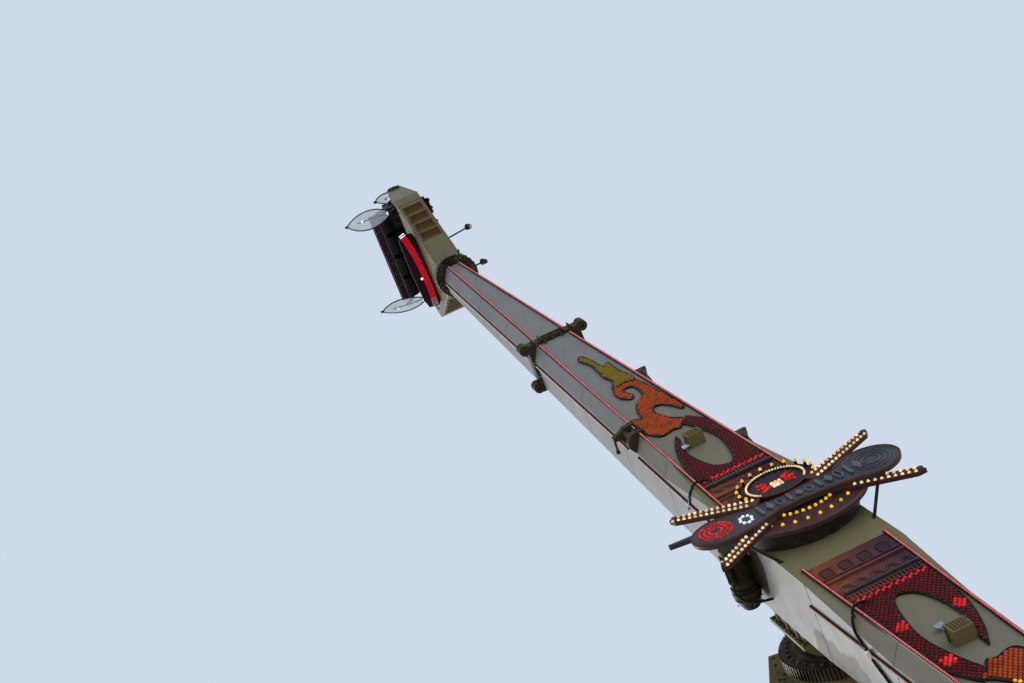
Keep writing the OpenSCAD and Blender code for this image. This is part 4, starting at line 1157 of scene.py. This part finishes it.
tower = {"headY": 1.221, "headRing": (0.555, 0.43), "headSide": 0.59, "eyeX": 0.4, "eyeZ": 0.46,
         "eye": 0.05, "wall": 0.045, "seams": (2.6, 4.5, 6.4, 10.4, 12.4, 14.4), "joint": (8.355, 8.445),
         "jointOut": 0.024,
         "doorZ": 1.6, "door": (0.62, 0.014, 1.5), "covers": (11.2, 13.4), "cover": (0.7, 0.014, 0.9),
         "louvres": 9}


def towerDetails():
    front = hubPoint.y + tower["headY"]
    seams, bolts, plates, lock = newMeshes(4)
    for i, (x, z) in enumerate(oval((0, hubPoint.z), *tower["headRing"], 32)):
        addPrism(bolts, fit(world, (x, front, z), toFront, 0.3 * i), 0.016, 0.014)
    for x in (-tower["headSide"], tower["headSide"]):
        row = rowBetween((x, front, hubPoint.z - 0.5), (x, front, hubPoint.z + 0.4), 0.13)
        addBolts(bolts, world, row, toFront, 0.013)
    eye = tower["eye"]
    for x in (-tower["eyeX"], tower["eyeX"]):  # lifting eyes on the head
        for y in (front + 0.1, front + 0.75):
            ring = oval((x, hubPoint.z + tower["eyeZ"] + 0.055), eye, eye, 15)
            addTrace(seams, world, ring, -y, 0.014, 8)
    (lowX, frontY, lowZ), (highX, backY, highZ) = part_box("tower_upper")
    halfW, wall = highX - tower["wall"], tower["wall"]
    for z in tower["seams"]:  # weld seams round the tower
        corners = [(-halfW, frontY, z), (halfW, frontY, z), (halfW, backY - wall, z),
                   (-halfW, backY - wall, z)]
        addTube(seams, world, corners, 0.005, 5, True)
    for z, way in zip(tower["joint"], (toBottom, toTop)):
        for x in (-halfW - tower["jointOut"], halfW + tower["jointOut"]):
            row = rowBetween((x, frontY + 0.06, z), (x, backY - 0.12, z), 0.11)
            addBolts(bolts, world, row, way, 0.014, 0.013)
    addBox(plates, world, (0, frontY - 0.005, tower["doorZ"]), tower["door"], 0.004)
    for z in tower["covers"]:
        addBox(plates, world, (0, backY - 0.041, z), tower["cover"], 0.004)
    for k in range(tower["louvres"]):
        addBox(plates, world, (0, frontY - 0.014, 1.95 + 0.034 * k), (0.44, 0.02, 0.006), 0.0,
               Matrix.Rotation(0.5, 4, "X"))
    addBox(lock, world, (0.26, frontY - 0.022, tower["doorZ"]), (0.02, 0.022, 0.12), 0.004)
    for z in (1.1, 2.1):  # hinges of the door
        addTube(lock, world, [(-0.31, frontY - 0.016, z - 0.05), (-0.31, frontY - 0.016, z + 0.05)], 0.011)
    addPiece("tower_seams", seams, "khakiPaint", "base")
    addPiece("tower_bolts", bolts, "boltSteel", body="base")
    addPiece("tower_covers", plates, "khakiPaint", "base")
    addPiece("tower_door_fittings", lock, "boltSteel", body="base")


base = {"beamX": 0.98, "beamY": 0.15, "beamBolts": (0.16, 0.26, 0.36), "footIn": 0.26, "threads": 7,
        "threadZ": 0.42,
        "footBolts": 0.2, "footZ": 0.04, "gusset": [(0.078, 0.0), (0.15, 0.0), (0.078, 0.1)],
        "gussetHalf": 0.006, "deckJoints": (-1.3, 0.0, 1.3)}


def baseDetails():
    low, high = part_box("base_frame")
    bolts, gussets, screws, trim = newMeshes(4)
    footX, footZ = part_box("jack_feet")[1][0] - base["footIn"], base["footZ"]
    for side in (-1, 1):
        for y in (low[1] + base["beamY"], high[1] - base["beamY"]):
            for z in base["beamBolts"]:
                for way in (-1, 1):
                    spot = (side * base["beamX"], y + way * 0.131, z)
                    addPrism(bolts, fit(world, spot, (0, way, 0)), 0.017, 0.014)
            for k in range(base["threads"]):
                spot = Matrix.Translation((side * footX, y, base["threadZ"] + 0.012 * k))
                addDisc(screws, spot, 0.07, 0.08, 0.006)
            foot = Matrix.Translation((side * footX, y, footZ))
            for spot in circle(base["footBolts"], 0, 6):
                addPrism(bolts, fit(foot, spot, toTop), 0.016, 0.012)
            for k in range(8):
                turned = foot @ Matrix.Rotation(k * math.pi / 4, 4, "Z")
                skin(gussets, turned, [[(p, y, q) for p, q in base["gusset"]]
                                       for y in (base["gussetHalf"], -base["gussetHalf"])])
    (lowX, lowY, lowZ), (highX, highY, top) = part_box("loading_deck")
    for x in base["deckJoints"]:
        addBox(trim, world, (x, (lowY + highY) / 2, top + 0.001), (0.02, highY - lowY - 0.06, 0.004))
    for y in (lowY + 0.02, highY - 0.02):
        addBox(trim, world, (0, y, top + 0.003), (highX - lowX - 0.02, 0.03, 0.008), 0.002)
    addPiece("base_bolts", bolts, "boltSteel", body="base")
    addPiece("jack_gussets", gussets, "basePaint", "base")
    addPiece("jack_screws", screws, "boltSteel", body="base")
    addPiece("deck_joint_strips", trim, "boltSteel", "base")


# end ring, carrier and its lamps

endRing = {"bolts": 24, "faceRing": 0.25, "sideRing": 0.289, "fixedZ": 0.05, "turningZ": 0.145, "spin": 7,
           "eyes": (-60, 120), "eyeRing": 0.31, "eye": 0.03, "eyeWire": 0.008}


def carrierFrame(where):
    return ends[where] @ Matrix.Translation((0, axisY, 0))


def endRingDetails(where):
    place, reach = carrierFrame(where), boom["reach"]
    fixed, turning = newMeshes(2)
    for i in range(endRing["bolts"]):
        for bolts, degrees, z in ((fixed, 0, endRing["fixedZ"]),
                                  (turning, endRing["spin"], endRing["turningZ"])):
            a = 2 * math.pi * i / endRing["bolts"] + math.radians(degrees)
            out = Vector((math.cos(a), math.sin(a), 0))
            spot = out * endRing["sideRing"] + Vector((0, 0, reach + z))
            addPrism(bolts, fit(place, spot, out), 0.01, 0.01)
            if bolts is fixed:
                spot = out * endRing["faceRing"] + Vector((0, 0, reach + 0.008))
                addPrism(bolts, fit(place, spot, toBottom), 0.013, 0.012)
    for degrees in endRing["eyes"]:
        a = math.radians(degrees)
        out = Vector((math.cos(a), math.sin(a), 0))
        middle = out * endRing["eyeRing"] + Vector((0, 0, reach + endRing["turningZ"]))
        eye = [middle + out * p + Vector((0, 0, q)) for p, q, flat in circle(endRing["eye"], 0, 14)]
        addTube(turning, place, eye, endRing["eyeWire"], 7, True)
    addPiece(where + "_end_ring_bolts", fixed, "boltSteel")
    addPiece(where + "_carrier_ring_bolts", turning, "boltSteel", body=where + "_carrier")


carrier = {"slabHalf": 0.182, "ringTop": 12.5143, "edge": 14.21, "reach": 0.87, "root": 0.19, "recesses": 4,
           "recessStart": 0.7, "recessPitch": 0.24, "postX": 0.134, "capY": 0.92, "capRing": 0.077,
           "slabBolts": ((12.75, 0.18), (13.1, 0.3), (14.1, 0.76)), "lampHead": (0.527, -0.37, 13.19),
           "lampTilt": -30}


def carrierDetails(where):
    body, place, post, root = where + "_carrier", carrierFrame(where), carrier["postX"], carrier["root"]
    slope = math.atan2(carrier["reach"] - root, carrier["edge"] - 0.12 - carrier["ringTop"])
    frames, panels, bolts, caps, lenses = newMeshes(5)
    for end in (-1, 1):
        face = place @ Matrix.Translation((0, end * root, carrier["ringTop"]))
        face = face @ Matrix.Rotation(-end * slope, 4, "X")
        out = end * 0.003
        for i in range(carrier["recesses"]):
            low = carrier["recessStart"] + carrier["recessPitch"] * i
            middle, rails = low + 0.075, (low - 0.014, low + 0.164)
            addBox(panels, face, (0, -end * 0.011, middle), (0.24, 0.004, 0.148))
            for z in rails:
                addBox(frames, face, (0, out, z), (0.29, 0.01, 0.028), 0.002)
            for x in (-post, post):
                addBox(frames, face, (x, out, middle), (0.022, 0.01, 0.15), 0.002)
                for z in rails:
                    addPrism(bolts, fit(face, (x, end * 0.008, z), (0, end, 0)), 0.006, 0.005)
        addTrace(bolts, face, [(-0.17, 0.02), (-0.17, 1.66), (0.17, 1.66), (0.17, 0.02)], -out, 0.004, 5)
        hubEnd = fit(place, (0, end * carrier["capY"], pivotZ), (0, end, 0))
        addDisc(caps, hubEnd, 0.058, 0.096, 0.016, 32)
        addBoltRing(caps, hubEnd, carrier["capRing"], 0.016)
        for z, wide in carrier["slabBolts"]:
            for y in (-wide, wide):
                addPrism(bolts, fit(place, (end * carrier["slabHalf"], y, z), (end, 0, 0)), 0.014, 0.012)
    tilt = Matrix.Rotation(math.radians(carrier["lampTilt"]), 4, "Y")
    head = place @ Matrix.Translation(carrier["lampHead"]) @ tilt
    addDisc(lenses, head @ Matrix.Translation((0, 0, 0.04)), 0.0, 0.036, 0.004, 20)
    addDisc(lenses, head @ Matrix.Translation((0, 0, -0.046)), 0.01, 0.024, 0.008, 16)
    addPiece(where + "_recess_panels", panels, "brownPanel", body)
    addPiece(where + "_recess_frames", frames, "brownFrame", body)
    addPiece(where + "_carrier_bolts", bolts, "boltSteel", body=body)
    addPiece(where + "_axle_caps", caps, "bracketPaint", body=body)
    addPiece(where + "_stalk_lenses", lenses, "whiteLens", body=body)


# eight bolts on the end of an axle
def addBoltRing(bm, place, radius, height):
    for k in range(8):
        turned = place @ Matrix.Rotation(k * math.pi / 4, 4, "Z")
        addPrism(bm, turned @ Matrix.Translation((radius, 0, height)), 0.01, 0.01)


# the lit ladder along the carrier's side board
ladder = {
    "z": 13.52, "rungs": 40, "start": -0.575, "end": 0.525, "width": 0.088, "rung": (0.014, 0.013),
    "rail": 0.006, "railX": 0.05, "boardTop": 13.56, "wedgeY": (-0.32, 0.32), "wedgeHalf": 0.02,
    "spot": (-0.315, 0.115, 13.52),
    "board": [(-0.182, -0.44), (-0.205, -0.54), (-0.36, -0.575), (-0.418, -0.5), (-0.425, 0.0),
              (-0.405, 0.42), (-0.37, 0.54), (-0.22, 0.555), (-0.182, 0.5)],
    "wedge": [(-0.182, 13.56), (-0.182, 13.86), (-0.4, 13.56)],
}


def sideBoardLamps(where):
    body, place, last = where + "_carrier", carrierFrame(where), ladder["rungs"]
    rungs, pale, white, rails, spot, board = newMeshes(6)
    line = []
    for i in range(last + 1):
        y = ladder["start"] + (ladder["end"] - ladder["start"]) * i / last
        bend = -0.262 + 0.02 * (y - 0.1) - 0.19 * max(0.0, 0.05 - y) ** 2 - 0.1 * max(0.0, y - 0.3)
        line.append(Vector((bend, y, ladder["z"] - 0.006)))
    for i, point in enumerate(line):
        ahead = line[min(i + 1, last)] - line[max(i - 1, 0)]
        turned = Matrix.Rotation(math.atan2(ahead.y, ahead.x) - math.pi / 2, 4, "Z")
        target = white if i < 2 else pale if i > last - 4 else rungs
        addBox(target, place, point, (ladder["width"], *ladder["rung"]), 0.003, turned)
    for offset in (-ladder["railX"], ladder["railX"]):
        addTube(rails, place, [p + Vector((offset, 0, 0.004)) for p in line], ladder["rail"], 6)
    addDome(spot, fit(place, ladder["spot"], toBottom), 0.02, 0.016, 12, 3)
    addBar(board, place, ladder["board"], ladder["z"], ladder["boardTop"])
    for y in ladder["wedgeY"]:
        half = ladder["wedgeHalf"]
        skin(board, place, [[(x, y + side, z) for x, z in ladder["wedge"]] for side in (half, -half)])
    for name, bm, paint in (("_ladder_rungs", rungs, "redBar"), ("_ladder_pale_rungs", pale, "palePinkBar"),
                            ("_ladder_white_rungs", white, "whiteLamp"),
                            ("_ladder_rails", rails, "maroonPanel")):
        addPiece(where + name, bm, paint, body)
    addPiece(where + "_board_spot", spot, "whiteLamp", body, True)
    addPiece(where + "_ladder_board", board, "maroonPanel", body,
             standsFor=where + "_side_board")


# gondola: seats, restraints, end screens

gondola = {"swing": 125, "seats": 4, "pitch": 0.34}


def gondolaFrame(where):
    swing = Matrix.Rotation(math.radians(gondola["swing"]), 4, "Y")
    return ends[where] @ Matrix.Translation((0, axisY, pivotZ)) @ swing


# the two rows of seats stand back to back
def rowFrames(where):
    return [gondolaFrame(where) @ Matrix.Rotation(math.pi * row, 4, "Z") for row in (0, 1)]


def seatFrames(where):
    steps = [(i - (gondola["seats"] - 1) / 2) * gondola["pitch"] for i in range(gondola["seats"])]
    return [turned @ Matrix.Translation((0, y, 0)) for turned in rowFrames(where) for y in steps]


seat = {
    "width": 0.274, "columns": 13, "lift": 0.05, "dip": 0.012, "narrow": 0.22, "backX": 0.0605,
    "backZ": (-0.26, 0.4), "ribs": (0.02, 0.12, 0.22), "ribX": 0.1075, "ribHalf": 0.07,
    "spine": [(0.312, -0.262), (0.316, -0.215), (0.27, -0.178), (0.2, -0.172), (0.15, -0.16),
              (0.128, -0.09), (0.116, 0.0), (0.109, 0.1), (0.106, 0.2), (0.112, 0.3), (0.114, 0.37),
              (0.1, 0.414), (0.066, 0.418)],
}


# the seat's face is dished across, with its edges raised; the back is flat
def seatShell(bm, place):
    wide, across = seat["width"], seat["columns"]
    line = flatLine(seat["spine"], 3)
    rows = []
    for k, (x, z) in enumerate(line):
        share = k / (len(line) - 1)
        narrow = 1.0 if share < 0.62 else 1.0 - seat["narrow"] * min(1.0, (share - 0.62) / 0.2)
        row = []
        for i in range(across):
            t = -1 + 2 * i / (across - 1)
            lift = seat["lift"] * max(0.0, abs(t) - 0.45) ** 1.5 * (0.6 if share < 0.3 else 1.0)
            x1 = x - seat["dip"] * math.cos(t * math.pi / 2) ** 2 + (lift if share > 0.3 else 0.0)
            z1 = z + (lift if share <= 0.3 else 0.0)
            row.append(bm.verts.new(place @ Vector((x1, t * narrow * wide / 2, z1))))
        rows.append(row)
    for low, high in zip(rows, rows[1:]):
        for a in range(across - 1):
            bm.faces.new((low[a], low[a + 1], high[a + 1], high[a]))
    back = [[bm.verts.new(place @ Vector((seat["backX"], t * wide / 2.1, z))) for t in (-1, 1)]
            for z in seat["backZ"]]
    bm.faces.new((back[0][0], back[1][0], back[1][1], back[0][1]))
    for side in (0, 1):
        ring = [row[-side] for row in rows] + [back[1][side], back[0][side]]
        bm.faces.new(ring if side else ring[::-1])
    bm.faces.new(rows[-1] + [back[1][1], back[1][0]])
    bm.faces.new(rows[0][::-1] + [back[0][0], back[0][1]])


def makeSeats(where):
    shells, ribs = newMeshes(2)
    for place in seatFrames(where):
        seatShell(shells, place)
        for z in seat["ribs"]:
            addTube(ribs, place, [(seat["ribX"], s * seat["ribHalf"], z) for s in (-1, 0, 1)], 0.006, 5)
    body = where + "_gondola"
    addPiece(where + "_seat_shells", shells, "seatBlack", body, True, where + "_seats")
    addPiece(where + "_seat_ribs", ribs, "padBlack", body, True)


restraint = {
    "halfGap": 0.061, "tube": 0.0165, "lapTube": 0.018, "pad": 0.027, "padFrom": 10, "padTo": 27,
    # depth, share of the half gap and height of each point of a shoulder bar
    "route": [(0.131, 1, 0.245), (0.131, 1, 0.3), (0.148, 1, 0.34), (0.188, 1, 0.357), (0.228, 1, 0.34),
              (0.245, 1, 0.3), (0.245, 1.1, 0.16), (0.245, 0.9, 0.02), (0.245, 0.5, -0.045)],
    "grip": [(0.27, 0.1), (0.292, 0.13), (0.292, 0.19), (0.27, 0.22)], "gripTube": 0.008,
}


# a firm pad round a bar, full in its middle and drawn in at its ends
def addPad(bm, place, line):
    last, rows, up = len(line) - 1, [], Vector((0, 1, 0))
    for k, point in enumerate(line):
        radius = restraint["pad"] * (0.62 + 0.38 * math.sin(math.pi * k / last) ** 0.35)
        ahead = (line[min(k + 1, last)] - line[max(k - 1, 0)]).normalized()
        out = ahead.cross(up).normalized()
        rows.append([point + out * x * 0.9 + up * y for x, y, z in circle(radius, 0, 12)])
    skin(bm, place, rows)


def makeRestraints(where):
    bars, pads, grips = newMeshes(3)
    for place in seatFrames(where):
        for side in (-restraint["halfGap"], restraint["halfGap"]):
            line = smoothLine([(x, y * side, z) for x, y, z in restraint["route"]], 4)
            addTube(bars, place, line, restraint["tube"], 9)
            addPad(pads, place, line[restraint["padFrom"]:restraint["padTo"]])
            addTube(grips, place, [(x, side, z) for x, z in restraint["grip"]], restraint["gripTube"], 7)
        addTube(bars, place, [(0.245, s * 0.06, -0.045) for s in (-1, 0, 1)], restraint["lapTube"], 9)
    body = where + "_gondola"
    addPiece(where + "_restraint_bars", bars, "padBlack", body, True, where + "_restraints")
    soft = addPiece(where + "_restraint_pads", pads, "padFabric", body, True)
    addPiece(where + "_restraint_grips", grips, "gripYellow", body, True)


wings = {"root": (0.437, 0.043), "tip": (0.548, -0.67), "halfWidth": 0.145, "flare": 55, "middleY": 0.688,
         "thick": 0.008, "crown": 0.02, "steps": 18, "columns": 6, "rim": 0.0095, "rib": 0.009,
         "ribAt": (-0.95, -0.6, -0.2, 0.2, 0.5), "lampAt": (-0.86, 0.28), "lamp": (0.017, 0.014, 10, 3),
         "stays": (((0.35, 0.695, -0.282), (0.3, 0.024, 0.036)),
                   ((0.35, 0.695, 0.02), (0.24, 0.024, 0.03)))}


# clear wing-shaped screens at the ends of the seat rows, leaning outwards
def makeScreens(where):
    body = where + "_gondola"
    root, tip = Vector(wings["root"]), Vector(wings["tip"])
    along, half, middle = (tip - root).normalized(), (tip - root).length / 2, (root + tip) / 2
    across = Vector((-along.y, along.x))
    wide, flare = wings["halfWidth"], math.radians(wings["flare"])
    arcR = (half * half + wide * wide) / (2 * wide)
    steps, columns, thick = wings["steps"], wings["columns"], wings["thick"]
    leaves, rims, knobs, lenses = newMeshes(4)

    # u runs along the leaf, w across it, out away from its face
    def leafPoint(end, u, w, out=0.0):
        spot = middle + along * u + across * (w * math.cos(flare) + out * math.sin(flare))
        return Vector((spot.x, end * (wings["middleY"] - w * math.sin(flare) + out * math.cos(flare)),
                       spot.y))

    def reachAt(u):
        return math.sqrt(max(0.0, arcR * arcR - u * u)) - (arcR - wide)

    def crownAt(u):
        return wings["crown"] * (1 - (u / half) ** 2)

    # one face of the leaf; gives back the verts round its edge
    def addFace(place, end, depth):
        rows = []
        for k in range(1, steps):
            u = -half + 2 * half * k / steps
            shares = [2 * j / columns - 1 for j in range(columns + 1)]
            points = [leafPoint(end, u, reachAt(u) * s, depth + crownAt(u) * (1 - s * s)) for s in shares]
            rows.append([leaves.verts.new(place @ p) for p in points])
        first, last = (leaves.verts.new(place @ leafPoint(end, side * half, 0, depth)) for side in (-1, 1))
        for low, high in zip(rows, rows[1:]):
            for j in range(columns):
                leaves.faces.new((low[j], low[j + 1], high[j + 1], high[j]))
        for j in range(columns):
            leaves.faces.new((first, rows[0][j + 1], rows[0][j]))
            leaves.faces.new((last, rows[-1][j], rows[-1][j + 1]))
        return [first] + [row[0] for row in rows] + [last] + [row[-1] for row in reversed(rows)]

    for place in rowFrames(where):
        for end in (-1, 1):
            front, back = addFace(place, end, 0), addFace(place, end, thick)
            for i in range(len(front)):
                leaves.faces.new((front[i - 1], front[i], back[i], back[i - 1]))
            stations = [-half + 2 * half * k / steps for k in range(steps)]
            rim = [leafPoint(end, way * u, way * reachAt(u), 0.004) for way in (1, -1) for u in stations]
            addTube(rims, place, rim, wings["rim"], 7, True)
            rib = [leafPoint(end, u * half, 0.0, crownAt(u * half) - 0.004) for u in wings["ribAt"]]
            addTube(rims, place, rib, wings["rib"], 6)
            knob = leafPoint(end, half * 1.01, 0)
            addDome(knobs, fit(place, knob, toBottom), 0.022, 0.026, 12, 4)
            addPrism(knobs, fit(place, knob, toTop), 0.02, 0.03, 12)
            facing = leafPoint(end, 0, 0, -1.0) - leafPoint(end, 0, 0, 0)
            for u in wings["lampAt"]:
                for out, way in ((-0.008, facing), (thick + 0.004, -facing)):
                    spot = leafPoint(end, u * half, 0.0, crownAt(u * half) + out)
                    addDome(lenses, fit(place, spot, way), *wings["lamp"])
            for (x, y, z), size in wings["stays"]:
                addBox(rims, place, (x, end * y, z), size, 0.004)
    addPiece(where + "_wing_screens", leaves, "screen", body, True, where + "_end_screens")
    addPiece(where + "_screen_rims", rims, "rimDark", body, True)
    addPiece(where + "_screen_knobs", knobs, "rimDark", body, True)
    addPiece(where + "_screen_lamps", lenses, "whiteLamp", body, True)


rails = {"x": 0.284, "z": (-0.29, -0.4), "half": 0.66, "tube": 0.009, "boltX": 0.28, "boltZ": -0.345,
         "axleY": 0.71}


def gondolaRails(where):
    (metal,) = newMeshes(1)
    for place in rowFrames(where):
        for z in rails["z"]:
            addTube(metal, place, [(rails["x"], -rails["half"], z), (rails["x"], rails["half"], z)],
                    rails["tube"], 7)
        for y in spread(-0.6, 0.6, 0.17):
            addPrism(metal, fit(place, (rails["boltX"], y, rails["boltZ"]), (1, 0, 0)), 0.012, 0.01)
    for end in (-1, 1):
        axle = fit(gondolaFrame(where), (0, end * rails["axleY"], 0), (0, end, 0))
        addBoltRing(metal, axle, 0.1, 0)
        addDisc(metal, axle, 0.056, 0.075, 0.02)
    addPiece(where + "_gondola_rails", metal, "boltSteel", body=where + "_gondola")


makeCamera()
makeWorld()
makeSun("keySun", studio["key"])
makeSun("fillSun", studio["fill"])
makeFloor()
finishNodes()
for where in ends:
    for dress in (stripBeads, makeDecor, flangeDetails, boomSeams, boomHoses, lampDetails, endRingDetails,
                  carrierDetails, sideBoardLamps, makeSeats, makeRestraints, makeScreens, gondolaRails):
        dress(where)
    print(where, "half dressed")
for dress in (makeSignBoard, makeSignCrest, makeSignBowl, makeSignRays, makeDrum, makeEdgeFittings):
    dress()
print("sign and edges dressed")
for dress in (makeMotor, makeTurningBolts, towerDetails, baseDetails):
    dress()
print("turning gear, tower and base dressed")
